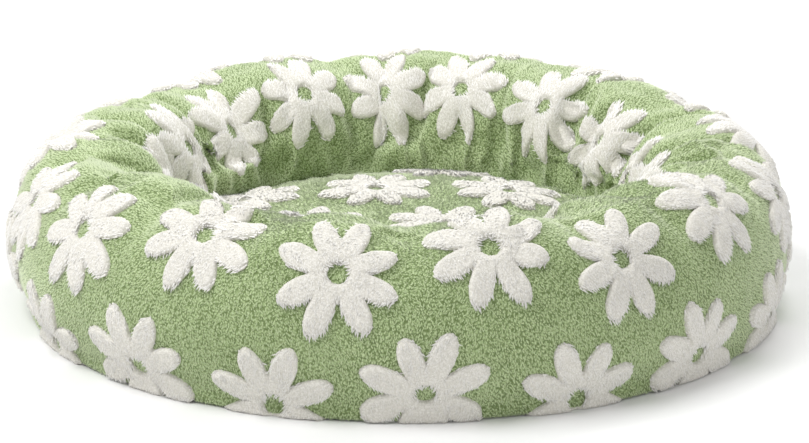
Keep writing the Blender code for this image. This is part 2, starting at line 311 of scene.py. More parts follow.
share = math_node(lock_group, "ADD", share, each_tone)
# painted shade at each lock's root, lighter towards its tip
lock_colour = mix_colours(lock_group, share, group_in.outputs["Root"], group_in.outputs["Tip"])
wire_up(lock_group, lock_colour, group_out.inputs["Colour"])
wire_up(lock_group, each.outputs["Fac"], group_out.inputs["Height"])
print("lock tone group:", len(lock_group.nodes), "nodes")

# %% [markdown]
# Tape, base cloth, lining and label are all plain weaves of different pitch. Two wave patterns at right
# angles, multiplied, give the little squares where one thread passes over another. The hollows between
# raised threads are coloured darker as painted shade, and a wide noise rubs in a little wear.

# %% Node group: plain weave
weave_group, group_in, group_out = new_group(
    "plain_weave",
    {"Thread Pitch": 0.0008, "Wear": 0.3},
    ["Thread", "Hollow"],
    {"Colour": "NodeSocketColor", "Height": "NodeSocketFloat"})
place = weave_group.nodes.new("ShaderNodeTexCoord").outputs["Object"]
split = weave_group.nodes.new("ShaderNodeSeparateXYZ")
wire_up(weave_group, place, split.inputs["Vector"])
turns = math_node(weave_group, "DIVIDE", 2 * math.pi, group_in.outputs["Thread Pitch"])
across = math_node(weave_group, "SINE", math_node(weave_group, "MULTIPLY", split.outputs["X"], turns))
along_sum = math_node(weave_group, "ADD", split.outputs["Y"], split.outputs["Z"])
along = math_node(weave_group, "SINE", math_node(weave_group, "MULTIPLY", along_sum, turns))
crossing = math_node(weave_group, "MULTIPLY", across, along)
thread_top = math_node(weave_group, "MULTIPLY_ADD", crossing, 0.5)
thread_top.node.inputs[2].default_value = 0.5
rub = weave_group.nodes.new("ShaderNodeTexNoise")
rub.inputs["Scale"].default_value = 60.0
rub.inputs["Detail"].default_value = 4.0
wire_up(weave_group, place, rub.inputs["Vector"])
rub_tone = math_node(weave_group, "MULTIPLY", rub.outputs["Fac"], group_in.outputs["Wear"])
share = math_node(weave_group, "ADD", thread_top, rub_tone)
# painted shade in the hollows between threads, plus wear from the rub noise
weave_colour = mix_colours(weave_group, share, group_in.outputs["Hollow"], group_in.outputs["Thread"])
wire_up(weave_group, weave_colour, group_out.inputs["Colour"])
wire_up(weave_group, thread_top, group_out.inputs["Height"])
print("plain weave group:", len(weave_group.nodes), "nodes")

# %% [markdown]
# Each finish is one Principled shader. Whatever is the same all over, such as roughness or sheen, is set
# on the shader's own socket, and only colour and relief come in by wire.

# %% Finishes made from the groups
def half_way_to_white(colour):
    return [0.5 + 0.5 * channel / max(colour) for channel in colour]


def cloth_finish(name, group, numbers, light, dark, relief_mm, roughness, sheen):
    """A cloth material whose colour and relief come from one of the node groups."""
    finish = bpy.data.materials.new(name)
    finish.use_nodes = True
    tree = finish.node_tree
    shader = tree.nodes["Principled BSDF"]
    pattern = tree.nodes.new("ShaderNodeGroup")
    pattern.node_tree = group
    for label, value in numbers.items():
        pattern.inputs[label].default_value = value
    colour_labels = [socket.name for socket in pattern.inputs if socket.type == "RGBA"]
    for label, colour in zip(colour_labels, (light, dark)):
        pattern.inputs[label].default_value = (*colour, 1.0)
    wire_up(tree, pattern.outputs["Colour"], shader.inputs["Base Color"])
    relief = tree.nodes.new("ShaderNodeBump")
    relief.inputs["Distance"].default_value = relief_mm / 1000
    relief.inputs["Strength"].default_value = 1.0
    wire_up(tree, pattern.outputs["Height"], relief.inputs["Height"])
    wire_up(tree, relief.outputs["Normal"], shader.inputs["Normal"])
    shader.inputs["Roughness"].default_value = roughness
    shader.inputs["Sheen Weight"].default_value = sheen
    shader.inputs["Sheen Roughness"].default_value = 0.5
    shader.inputs["Sheen Tint"].default_value = (*half_way_to_white(light), 1.0)
    shader.inputs["Specular IOR Level"].default_value = 0.2
    finish.diffuse_color = (*light, 1.0)
    return finish


# In the pile finishes the first colour is the lit tip and the second the painted shade at the roots and
# between loops; in the weave finishes the second is painted shade in the hollows.
green_pile = cloth_finish("sage_looped_pile", pile_group, {"Loop Size": 0.0024, "Patch Strength": 0.35},
                          (0.46, 0.57, 0.30), (0.15, 0.21, 0.075), 1.0, 0.95, 0.4)
green_locks = cloth_finish("sage_pile_locks", lock_group, {"Patch Strength": 0.45},
                           (0.64, 0.745, 0.445), (0.13, 0.19, 0.065), 0.2, 0.95, 1.0)
white_pile = cloth_finish("flower_ground_pile", pile_group, {"Loop Size": 0.0018, "Patch Strength": 0.3},
                          (0.80, 0.78, 0.73), (0.62, 0.60, 0.54), 0.4, 0.95, 0.2)
white_locks = cloth_finish("flower_pile_locks", lock_group, {"Patch Strength": 0.25},
                           (0.93, 0.915, 0.88), (0.72, 0.70, 0.64), 0.1, 0.95, 0.3)
fibre_wad = cloth_finish("loose_white_fibre", pile_group, {"Loop Size": 0.0060, "Patch Strength": 0.3},
                         (0.95, 0.95, 0.94), (0.80, 0.80, 0.79), 1.5, 1.0, 0.3)
green_tape = cloth_finish("green_woven_tape", weave_group, {"Thread Pitch": 0.0009, "Wear": 0.3},
                          (0.34, 0.43, 0.23), (0.20, 0.27, 0.12), 0.15, 0.8, 0.1)
base_cloth = cloth_finish("grip_base_cloth", weave_group, {"Thread Pitch": 0.0012, "Wear": 0.2},
                          (0.30, 0.33, 0.27), (0.18, 0.20, 0.16), 0.2, 0.85, 0.1)
lining_cloth = cloth_finish("white_lining_cloth", weave_group, {"Thread Pitch": 0.0016, "Wear": 0.2},
                            (0.90, 0.90, 0.88), (0.76, 0.76, 0.74), 0.15, 0.9, 0.1)
label_satin = cloth_finish("blank_label_satin", weave_group, {"Thread Pitch": 0.0006, "Wear": 0.1},
                           (0.92, 0.92, 0.90), (0.82, 0.82, 0.80), 0.05, 0.45, 0.2)
print("cloth finishes made, with the floor's:", len(bpy.data.materials))

# %% [markdown]
# Four finishes are harder: the zip's plated metal and dyed nylon, the sewing thread, and the clear dots
# under the base. One fine noise moves their tone and roughness and gives a faint relief.

# %% Hard finishes
def hard_finish(name, light, dark, roughness, metallic, grain):
    """A smooth finish whose tone, gloss and relief drift with one noise."""
    finish = bpy.data.materials.new(name)
    finish.use_nodes = True
    tree = finish.node_tree
    shader = tree.nodes["Principled BSDF"]
    place = tree.nodes.new("ShaderNodeTexCoord").outputs["Object"]
    drift = tree.nodes.new("ShaderNodeTexNoise")
    drift.inputs["Scale"].default_value = grain
    drift.inputs["Detail"].default_value = 5.0
    wire_up(tree, place, drift.inputs["Vector"])
    colour = mix_colours(tree, drift.outputs["Fac"], (*dark, 1.0), (*light, 1.0))
    wire_up(tree, colour, shader.inputs["Base Color"])
    gloss = tree.nodes.new("ShaderNodeMapRange")
    gloss.inputs["To Min"].default_value = roughness * 0.7
    gloss.inputs["To Max"].default_value = min(1.0, roughness * 1.3)
    wire_up(tree, drift.outputs["Fac"], gloss.inputs["Value"])
    wire_up(tree, gloss.outputs["Result"], shader.inputs["Roughness"])
    relief = tree.nodes.new("ShaderNodeBump")
    relief.inputs["Distance"].default_value = 0.00003
    wire_up(tree, drift.outputs["Fac"], relief.inputs["Height"])
    wire_up(tree, relief.outputs["Normal"], shader.inputs["Normal"])
    shader.inputs["Metallic"].default_value = metallic
    finish.diffuse_color = (*light, 1.0)
    return finish


plated_metal = hard_finish("tumbled_nickel", (0.80, 0.79, 0.76), (0.60, 0.59, 0.57), 0.32, 1.0, 900.0)
zip_nylon = hard_finish("dyed_zip_nylon", (0.34, 0.46, 0.24), (0.26, 0.36, 0.17), 0.45, 0.0, 500.0)
grip_rubber = hard_finish("clear_grip_dots", (0.46, 0.50, 0.42), (0.38, 0.42, 0.34), 0.35, 0.0, 300.0)
green_thread = hard_finish("green_sewing_thread", (0.30, 0.42, 0.18), (0.18, 0.27, 0.10), 0.6, 0.0, 1500.0)
print("finishes in all, with the floor's:", len(bpy.data.materials))

# %% [markdown]
# ## The shape of the ring
# Cut through, the ring is a squashed circle that rests on the floor. The cover runs from its foot, under
# the outer bulge, over the crest and down to the gathered seam. One list of (radius, height) points
# holds that path, with the distance along it, so that anything can be placed by how far along it lies.

# %% The cover's path in section
FOOT = (BASE_RADIUS - 0.0006, 0.0058)
BELLY = (BASE_RADIUS + 0.0060, 0.0022)
ARC_START_DEG, ARC_END_DEG, ARC_STEP_DEG = -38.0, 188.0, 2.0


def ring_outline(turn_deg, inset=0.0):
    """The ring's section: 0 is outermost, 90 the crest, 180 innermost."""
    turn = np.radians(turn_deg)
    power = 2.0 / RING_FULLNESS
    across = np.sign(np.cos(turn)) * np.abs(np.cos(turn)) ** power
    up = np.sign(np.sin(turn)) * np.abs(np.sin(turn)) ** power
    return (RING_CENTRE + (RING_HALF_WIDTH - inset) * across,
            RING_MIDDLE + (RING_HALF_HEIGHT - inset) * up)


arc_turns = np.arange(ARC_START_DEG, ARC_END_DEG + 0.1, ARC_STEP_DEG)
arc_radius, arc_height = ring_outline(arc_turns)
path_radius = np.concatenate([[FOOT[0], BELLY[0]], arc_radius])
path_height = np.concatenate([[FOOT[1], BELLY[1]], arc_height])
path_length = np.concatenate([[0.0], np.cumsum(np.hypot(np.diff(path_radius), np.diff(path_height)))])
COVER_WIDTH = path_length[-1]
print(f"the cover is {COVER_WIDTH:.3f} m wide from foot to seam")

# %% [markdown]
# Cloth and stuffing are never quite even. A cheap way to get the same unevenness on every run is value
# noise: random numbers on a lattice, blended smoothly in between.

# %% Smooth random unevenness
LATTICE_VALUES = 4096


def unevenness(points, size, seed):
    """Smooth values from -1 to 1 that change over about that many metres."""
    table = np.random.default_rng(seed).uniform(-1, 1, LATTICE_VALUES)
    cell = np.floor(points / size).astype(np.int64)
    part = points / size - cell
    part = part * part * (3 - 2 * part)
    total = np.zeros(points.shape[:-1])
    for corner in range(8):
        step = np.array([corner & 1, corner >> 1 & 1, corner >> 2 & 1])
        spot = cell + step
        pick = (spot[..., 0] * 73 + spot[..., 1] * 1259 + spot[..., 2] * 3571) % LATTICE_VALUES
        total += table[pick] * np.prod(np.where(step, part, 1 - part), axis=-1)
    return total


def ring_waves(azimuth, along, count, drift, seed):
    """Waves round the ring, about that many, whose crests wander as they run along the section."""
    chance = np.random.default_rng(seed)
    total = np.zeros(np.broadcast(azimuth, along).shape)
    for _ in range(24):
        waves = max(2, round(chance.normal(count, count * 0.22)))
        total += np.cos(waves * azimuth + chance.uniform(0, 2 * np.pi) + chance.normal(0, drift) * along)
    return total / total.std()


print("unevenness ready")

# %% [markdown]
# ## Gathering the cover
# The real cover is cut as a long strip and drawn up onto the shorter inner seam, and that is what folds
# it. Drawing folds by hand looks like a pie crust, so the strip is gathered by Blender's own Cloth. The
# mesh starts as an open cone that is too long for the seam, and a shape key carries its edges to where
# they are sewn. Every other point is only tugged weakly towards the stuffed shape, so the spare cloth
# has to buckle, and it finds its own folds.

# %% Gather the strip with Cloth
COLUMNS, ROWS = 400, 36
GATHER_AT_CREST, GATHER_AT_SEAM = 1.085, 1.48
FINE_FOLDS, COARSE_FOLDS = 52, 26
FOLD_START, QUICK_FOLD_GAIN = 0.0040, 1.6
LAST_FRAME, SEWN_FRAME = 28, 10

rows_at = np.linspace(0, COVER_WIDTH, ROWS + 1)
row_radius = np.interp(rows_at, path_length, path_radius)
row_height = np.interp(rows_at, path_length, path_height)
row_share = rows_at / COVER_WIDTH
slope_r, slope_z = np.gradient(row_radius), np.gradient(row_height)
slope_size = np.hypot(slope_r, slope_z)
out_r, out_z = slope_z / slope_size, -slope_r / slope_size
azimuths = np.linspace(0, 2 * np.pi, COLUMNS, endpoint=False)[:, None]


def gather_at(share):
    """How many times wider the flat strip is than the ring, by its share of the way to the seam."""
    return np.interp(share, [0, 0.3, 0.55, 1.0], [1.0, 1.0, GATHER_AT_CREST, GATHER_AT_SEAM])


def round_grid(radius, height):
    """Points of a surface of revolution, one column for each azimuth."""
    radius, height = np.broadcast_arrays(radius + 0 * azimuths, height + 0 * azimuths)
    return np.stack([radius * np.cos(azimuths), radius * np.sin(azimuths), height], -1)


def ring_faces(columns, rows):
    """Quads of a closed ring of columns, each with rows + 1 points."""
    index = np.arange(columns * (rows + 1)).reshape(columns, rows + 1)
    beside = np.roll(index, -1, 0)
    quads = [index[:, :-1], beside[:, :-1], beside[:, 1:], index[:, 1:]]
    return np.stack(quads, -1).reshape(-1, 4)


def start_folds():
    """Small waves that tell the cloth which way to buckle."""
    fine = ring_waves(azimuths, row_share, FINE_FOLDS, 2.0, 3) * np.clip((row_share - 0.55) / 0.25, 0, 1)
    coarse = ring_waves(azimuths, row_share, COARSE_FOLDS, 1.5, 4)
    coarse = coarse * np.clip((row_share - 0.32) / 0.35, 0, 1)
    depth = FOLD_START * (fine + coarse)
    depth[:, -1] = 0.0
    return depth


def gather_cover():
    """Runs the cloth and returns the gathered strip as a grid of points."""
    depth = start_folds()
    stuffed = round_grid(row_radius + depth * out_r, row_height + depth * out_z)
    cut_radius = row_radius * gather_at(row_share)
    rise_per_m = np.sqrt(np.maximum(1 - np.gradient(cut_radius, rows_at) ** 2, 0.05))
    rises = (rise_per_m[1:] + rise_per_m[:-1]) / 2 * np.diff(rows_at)
    cut_height = np.concatenate([[0], np.cumsum(rises)])
    cut = round_grid(cut_radius, cut_height)
    mesh = bpy.data.meshes.new("cover_strip")
    mesh.from_pydata(cut.reshape(-1, 3).tolist(), [], ring_faces(COLUMNS, ROWS).tolist())
    strip = bpy.data.objects.new("cover_strip", mesh)
    bpy.context.scene.collection.objects.link(strip)
    strip.shape_key_add(name="cut", from_mix=False)
    sewn = strip.shape_key_add(name="sewn", from_mix=False)
    sewn.data.foreach_set("co", stuffed.reshape(-1).astype(np.float32))
    sewn.value = 0.0
    sewn.keyframe_insert("value", frame=1)
    sewn.value = 1.0
    sewn.keyframe_insert("value", frame=SEWN_FRAME)

    hold = np.tile(np.interp(row_share, [0, 0.35, 0.7, 1.0], [0.25, 0.25, 0.1, 0.1]), (COLUMNS, 1))
    hold[:, [0, -1]] = 1.0
    at_zip = (np.sin(azimuths) > 0) & (row_height < ZIP_TOP) & (row_share < 0.5)
    hold[at_zip] = 1.0
    group = strip.vertex_groups.new(name="held")
    index = np.arange(hold.size).reshape(hold.shape)
    for weight in np.unique(hold):
        group.add(index[hold == weight].tolist(), float(weight), "REPLACE")

    cloth = strip.modifiers.new("gather", "CLOTH")
    cloth.settings.vertex_group_mass = "held"
    cloth.settings.quality = 4
    cloth.settings.mass = 0.25
    cloth.settings.tension_stiffness = 30.0
    cloth.settings.compression_stiffness = 30.0
    cloth.settings.shear_stiffness = 7.5
    cloth.settings.bending_stiffness = 0.3
    cloth.settings.tension_damping = 10.0
    cloth.settings.compression_damping = 10.0
    cloth.settings.air_damping = 2.0
    cloth.settings.use_pressure = True
    cloth.settings.uniform_pressure_force = 4.0
    cloth.settings.effector_weights.gravity = 0.0
    cloth.collision_settings.use_collision = False
    cloth.point_cache.frame_end = LAST_FRAME
    for step in range(1, LAST_FRAME + 1):
        bpy.context.scene.frame_set(step)
    settled = strip.evaluated_get(bpy.context.evaluated_depsgraph_get()).to_mesh()
    points = np.empty(len(settled.vertices) * 3, np.float32)
    settled.vertices.foreach_get("co", points)
    bpy.data.objects.remove(strip)
    bpy.context.scene.frame_set(1)
    return points.reshape(COLUMNS, ROWS + 1, 3).astype(float)


gathered = gather_cover()
print("gathered strip:", gathered.shape)

# %% [markdown]
# Pressure also rounds the whole tube in its own way. The design says where the ring is, so only the
# folds are kept: each row goes back to its place in the section, and keeps its wander about it, a little
# deepened towards the seam. A cap limits the rare fold that would go deep into the ring.

# %% Put the folds on the designed section
FOLD_CAP, FOLD_GAIN = 0.013, 1.6


def onto_section(grid):
    """Each row back on the designed section, with its folds softened and limited to the cap."""
    grid = (np.roll(grid, 1, 0) + 2 * grid + np.roll(grid, -1, 0)) / 4
    radius = np.hypot(grid[..., 0], grid[..., 1])
    angle = np.arctan2(grid[..., 1], grid[..., 0])
    off_r = radius - radius.mean(0)
    off_z = grid[..., 2] - grid[..., 2].mean(0)
    size = np.hypot(off_r, off_z) + 1e-9
    gain = np.interp(row_share, [0.35, 0.7], [1.0, FOLD_GAIN])
    keep = FOLD_CAP * np.tanh(gain * size / FOLD_CAP) / size
    radius = row_radius + off_r * keep
    height = row_height + off_z * keep
    return np.stack([radius * np.cos(angle), radius * np.sin(angle), height], -1)


folded = onto_section(gathered)
fold_depth = np.abs(folded - gathered).max()
print(f"rows moved by up to {1000 * fold_depth:.0f} mm to lie on the section")

# %% [markdown]
# The cloth's cells are 6 mm wide, too coarse for a smooth fold. A cubic B-spline through the grid gives
# as many points as wanted, and rounds each crease as thick plush does. The finer grid then gets the
# unevenness of its stuffing, a slump to one side, and a little roughness from the pile. It also draws in
# by the pile's own height, because the design's size is measured over the pile. At the foot the grid is
# given row by row: the plush rolls out over the seam with the base, comes down to the floor and hides it.

# %% Refine the grid and add the stuffing's unevenness
FINE_COLUMNS, FINE_ROWS = 560, 90
FLOOR_CLEAR = 0.0012
PILE_ROOM = 0.0025
FOOT_ROLL = [(0.0004, 0.0066), (0.0040, 0.0046), (0.0062, 0.0018), (0.0071, 0.0030), (0.0070, 0.0072)]


def resample(grid, count, wraps):
    """Resamples the first axis of a grid with a cubic B-spline."""
    size = len(grid)
    place = np.linspace(0, size if wraps else size - 1, count, endpoint=not wraps)
    base = np.floor(place).astype(int)
    part = place - base
    weights = ((1 - part) ** 3, 3 * part ** 3 - 6 * part ** 2 + 4,
               -3 * part ** 3 + 3 * part ** 2 + 3 * part + 1, part ** 3)
    total = 0.0
    for offset, weight in zip((-1, 0, 1, 2), weights):
        index = base + offset
        index = index % size if wraps else np.clip(index, 0, size - 1)
        total = total + grid[index] * (weight / 6)[:, None, None]
    return total


def outward(grid):
    """Unit normals of a round grid, pointing out of the stuffing."""
    around = np.roll(grid, -1, 0) - np.roll(grid, 1, 0)
    up = np.gradient(grid, axis=1)
    normal = np.cross(around, up)
    return normal / np.linalg.norm(normal, axis=-1, keepdims=True)


cover = resample(folded, FINE_COLUMNS, True)
cover = resample(cover.transpose(1, 0, 2), FINE_ROWS + 1, False).transpose(1, 0, 2)
fine_share = np.linspace(0, 1, FINE_ROWS + 1)
fine_azimuth = np.linspace(0, 2 * np.pi, FINE_COLUMNS, endpoint=False)[:, None]
free = np.clip(fine_share / 0.12, 0, 1) * np.clip((1 - fine_share) / 0.04, 0, 1)
zip_side = (np.sin(fine_azimuth) > 0) * np.clip((ZIP_TOP + 0.02 - cover[..., 2]) / 0.02, 0, 1)
zip_side = zip_side * (fine_share < 0.5)
free = free * (1 - zip_side)
normals = outward(cover)
slump = 0.005 * np.cos(fine_azimuth - math.radians(205)) * np.exp(-((fine_share - 0.2) / 0.14) ** 2)
lumps = (0.0030 * unevenness(cover, 0.11, 21) + 0.0016 * unevenness(cover, 0.05, 22)
         + 0.0006 * unevenness(cover, 0.012, 23))
cover = cover + normals * ((lumps + slump - PILE_ROOM) * free)[..., None]
for row, (beyond, height) in enumerate(FOOT_ROLL):
    radius = BASE_RADIUS + beyond + 0.0008 * unevenness(cover[:, row], 0.05, 24)
    cover[:, row] = np.stack([radius * np.cos(fine_azimuth[:, 0]), radius * np.sin(fine_azimuth[:, 0]),
                              np.full(FINE_COLUMNS, height)], -1)
cover[..., 2] = np.maximum(cover[..., 2], FLOOR_CLEAR)
normals = outward(cover)
print("fine grid:", cover.shape, "crest at", round(float(cover[..., 2].max()), 4))

# %% [markdown]
# The thread that gathers the seam doesn't pull evenly. Here and there it catches a pinch of cloth, and a
# sharp pleat runs from the seam up over the crest. These few are listed one by one, each with its azimuth,
# its depth, how far over the crest it reaches, and how much it drifts sideways on the way.

# %% Pinch a few deep pleats
PLEATS = [(8, 0.0095, 0.22, 7), (24, 0.0080, 0.20, -5), (44, 0.0085, 0.22, 4),
          (63, 0.0075, 0.23, 3), (104, 0.0060, 0.24, -4), (148, 0.0055, 0.22, 5),
          (171, 0.0080, 0.20, -6), (188, 0.0060, 0.21, 4), (236, 0.0050, 0.22, 5),
          (287, 0.0045, 0.24, -4), (327, 0.0065, 0.21, 5), (349, 0.0070, 0.19, -4)]
PLEAT_HALF, PLEAT_CAP = 0.0050, 0.010


def pleat_depth():
    """Depth of all the pleats at each point of the fine grid."""
    total = np.zeros(cover.shape[:2])
    along = fine_share * COVER_WIDTH
    radius = np.hypot(cover[..., 0], cover[..., 1])
    for azimuth_deg, depth, reach, drift_deg in PLEATS:
        run = np.clip((along - reach + 0.03) / (COVER_WIDTH - reach), 0, 1)[None, :]
        line = math.radians(azimuth_deg) + math.radians(drift_deg) * (1 - run) ** 2
        off = (fine_azimuth - line + np.pi) % (2 * np.pi) - np.pi
        narrow = PLEAT_HALF * (1.6 - 0.6 * run)
        profile = np.exp(-np.abs(off * radius / narrow) ** 1.4)
        total += depth * profile * np.clip(run / 0.35, 0, 1) * np.clip((1 - run) / 0.06, 0, 1)
    return np.minimum(total, PLEAT_CAP)


cover = cover - normals * pleat_depth()[..., None]
cover[..., 2] = np.maximum(cover[..., 2], FLOOR_CLEAR)
normals = outward(cover)
print("pleats:", len(PLEATS), "deepest", round(1000 * float(pleat_depth().max()), 1), "mm")

# %% [markdown]
# ## Covers
# The ring's cover is two half rings, joined by a cross seam at the left and at the right. Each becomes
# a thin closed shell: the outer skin, the same skin moved inwards, and the four edges between them.
# Along a cross seam the thread pulls the pile into a narrow valley.

# %% Make the two halves of the ring's cover
CLOTH_THICK = 0.0022
CROSS_SEAM_DEPTH, CROSS_SEAM_HALF = 0.0045, 0.007
SEAM_NICK = 0.0003


def new_piece(name, points, faces, finish, body="bed"):
    """A mesh piece with its finish and the body that it rides on."""
    mesh = bpy.data.meshes.new(name)
    mesh.from_pydata(np.asarray(points).reshape(-1, 3).tolist(), [], [list(face) for face in faces])
    mesh.materials.append(finish)
    mesh.shade_smooth()
    piece = bpy.data.objects.new(name, mesh)
    bpy.context.scene.collection.objects.link(piece)
    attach(piece, body)
    return piece


def shell_faces(columns, rows):
    """Faces of a thin closed shell: an outer grid, then an inner one of the same size."""
    index = np.arange(columns * rows).reshape(columns, rows)
    inner = index + columns * rows
    skin = np.stack([index[:-1, :-1], index[1:, :-1], index[1:, 1:], index[:-1, 1:]], -1)
    lining = np.stack([inner[:-1, :-1], inner[:-1, 1:], inner[1:, 1:], inner[1:, :-1]], -1)
    faces = [skin.reshape(-1, 4), lining.reshape(-1, 4)]
    rim = np.concatenate([index[:, 0], index[-1, 1:], index[-2::-1, -1], index[0, -2:0:-1]])
    beyond = np.roll(rim, -1)
    faces.append(np.stack([rim, rim + columns * rows, beyond + columns * rows, beyond], -1))
    return np.concatenate(faces)


from_seam = np.abs(np.sin(fine_azimuth)) * np.hypot(cover[..., 0], cover[..., 1])
valley = CROSS_SEAM_DEPTH * np.exp(-(from_seam / CROSS_SEAM_HALF) ** 2) * free
cover = cover - normals * valley[..., None]


def make_cover_half(name, node, first_column, foot_height):
    """Half of the ring's cover, from the row where its foot is."""
    columns = (first_column + np.arange(FINE_COLUMNS // 2 + 1)) % FINE_COLUMNS
    row = int(np.argmax(cover[columns, :FINE_ROWS // 2, 2].mean(0) >= foot_height))
    skin = cover[columns, row:].copy()
    facing = normals[columns, row:]
    nudge = np.sign(skin[1, 0, 1]) * SEAM_NICK
    skin[[0, -1], :, 1] += nudge
    points = np.concatenate([skin.reshape(-1, 3), (skin - facing * CLOTH_THICK).reshape(-1, 3)])
    half = new_piece(name, points, shell_faces(*skin.shape[:2]), green_pile)
    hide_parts(node)
    print(name, len(half.data.polygons), "faces")
    return half


make_cover_half("ring_cover_front", "bolster_panel_front", FINE_COLUMNS // 2, 0.0)
make_cover_half("ring_cover_back", "bolster_panel_back", 0, ZIP_TOP + 0.0008)

# %% [markdown]
# The centre cushion's cover is a crowned round panel. Near the seam the gathered thread puckers it, and
# the middle has the soft hollows of a cushion that has been lain on. It is modelled on a polar grid,
# because its puckers all run towards the middle.

# %% Make the centre cushion's cover
CUSHION_COLUMNS, CUSHION_ROWS = 320, 56
PANEL_LIFT = 0.004
CUSHION_RISE = CROWN_TOP - SEAM_HEIGHT - PANEL_LIFT
PANEL_RADIUS = SEAM_RADIUS - 0.0006
PUCKER_COUNT = 46


def cushion_grid():
    """Columns from the seam in to the middle."""
    angle = np.linspace(0, 2 * np.pi, CUSHION_COLUMNS, endpoint=False)[:, None]
    share = np.sin(np.linspace(math.pi / 2, 0.02, CUSHION_ROWS + 1))[None, :]
    radius = PANEL_RADIUS * share
    height = SEAM_HEIGHT + PANEL_LIFT + CUSHION_RISE * (1 - share ** 3.4) + 0.002 * (1 - share)
    points = np.stack([radius * np.cos(angle), radius * np.sin(angle), height + 0 * angle], -1)
    pucker = ring_waves(angle, 1 - share, PUCKER_COUNT, 3.0, 31)
    near_seam = np.exp(-((1 - share) / 0.10) ** 2) * np.clip((1 - share) / 0.012, 0, 1)
    hollows = 0.0035 * unevenness(points, 0.13, 32) + 0.0015 * unevenness(points, 0.05, 33)
    pile_lift = 0.0005 * unevenness(points, 0.010, 34)
    inside = np.clip((1 - share) / 0.08, 0, 1)
    points[..., 2] += 0.0020 * pucker * near_seam + (hollows + pile_lift) * inside
    return points


cushion = cushion_grid()
cushion_under = cushion - np.array([0, 0, CLOTH_THICK])
skin_count = CUSHION_COLUMNS * (CUSHION_ROWS + 1)
cushion_skin = ring_faces(CUSHION_COLUMNS, CUSHION_ROWS)
edge = np.arange(CUSHION_COLUMNS) * (CUSHION_ROWS + 1)
edge_next = np.roll(edge, -1)
middle = [(edge + CUSHION_ROWS).tolist(), (edge + CUSHION_ROWS + skin_count)[::-1].tolist()]
cushion_faces = (cushion_skin.tolist() + (cushion_skin[:, ::-1] + skin_count).tolist()
                 + np.stack([edge, edge + skin_count, edge_next + skin_count, edge_next], -1).tolist()
                 + middle)
cushion_points = np.concatenate([cushion.reshape(-1, 3), cushion_under.reshape(-1, 3)])
cushion_cover = new_piece("cushion_cover", cushion_points, cushion_faces, green_pile)
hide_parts("centre_panel")
print("cushion cover:", len(cushion_faces), "faces, top at", round(float(cushion[..., 2].max()), 4))

# %% [markdown]
# ## Laying cloth patterns on the gathered grids
# On a real strip every flower and every tuft is alike, and the gathering squeezes those near the seam.
# So a pattern is drawn flat, in metres of cloth, and then laid on the gathered grid, which squeezes it
# in the same way.

# %% Lay flat cloth on a grid
class Ground:
    """A grid that flat cloth lies on: x runs round the ring and y from its foot to its seam."""

    def __init__(self, grid, facing, rows_per_metre, cloth_radius):
        self.grid, self.facing = grid, facing
        self.rows_per_metre, self.cloth_radius = rows_per_metre, cloth_radius

    def at(self, azimuth, along):
        """Points and outward directions at places on the cloth."""
        columns, rows = self.grid.shape[:2]
        column = (azimuth * columns / (2 * np.pi)) % columns
        row = np.clip(along * self.rows_per_metre, 0, rows - 1.001)
        i, j = np.floor(column).astype(int) % columns, np.floor(row).astype(int)
        s, t = (column - np.floor(column))[..., None], (row - j)[..., None]
        beside = (i + 1) % columns
        blended = []
        for source in (self.grid, self.facing):
            near = source[i, j] * (1 - t) + source[i, j + 1] * t
            far = source[beside, j] * (1 - t) + source[beside, j + 1] * t
            blended.append(near * (1 - s) + far * s)
        point, facing = blended
        return point, unit(facing)

    def around(self, azimuth, along, x, y):
        """Places on the cloth at flat offsets from a centre."""
        return azimuth + x / self.cloth_radius(along + y), along + y


class CushionGround(Ground):
    """The centre panel, whose rows run from its seam to its middle. Here y points to the back."""

    def around(self, azimuth, along, x, y):
        flat_x = along * np.cos(azimuth) + x
        flat_y = along * np.sin(azimuth) + y
        return np.arctan2(flat_y, flat_x), np.hypot(flat_x, flat_y)

    def at(self, azimuth, along):
        share = np.clip(along / PANEL_RADIUS, 0.03, 0.999)
        row = (math.pi / 2 - np.arcsin(share)) / (math.pi / 2 - 0.02) * CUSHION_ROWS
        return super().at(azimuth, row / self.rows_per_metre)


def unit(vectors):
    return vectors / (np.linalg.norm(vectors, axis=-1, keepdims=True) + 1e-12)


def ring_cloth_radius(along):
    return np.interp(along, rows_at, row_radius) * gather_at(along / COVER_WIDTH)


cushion_facing = outward(cushion)
cushion_facing *= np.sign(cushion_facing[..., 2:])
ring_ground = Ground(cover, outward(cover), FINE_ROWS / COVER_WIDTH, ring_cloth_radius)
cushion_ground = CushionGround(cushion, cushion_facing, 1.0, None)
ZIP_ALONG = float(np.interp(ZIP_TOP, row_height[2:ROWS // 2], rows_at[2:ROWS // 2])) + 0.002
print(f"the back's cover starts {1000 * ZIP_ALONG:.0f} mm up the cloth, above the zip")

# %% [markdown]
# ## Flowers
# A petal's edge is a power of a cosine about the petal's own axis, which gives a round tip and a notch
# that closes half way in. The flower's edge is the furthest reach of its petals in each direction. All
# are tufted by one pattern, with a notch straight up the cloth, but each petal comes out a little longer
# or shorter. Where the cloth was cut through a flower, at foot, zip or seam, the flower is cut too.

# %% Draw one flower flat
PETALS = 8
PETAL_REACH, PETAL_WAIST, EYE_RADIUS = 0.0595, 0.0260, 0.0090
PETAL_POWER = 0.90
CUT_MARGIN, SEAM_MARGIN = 0.003, 0.0012


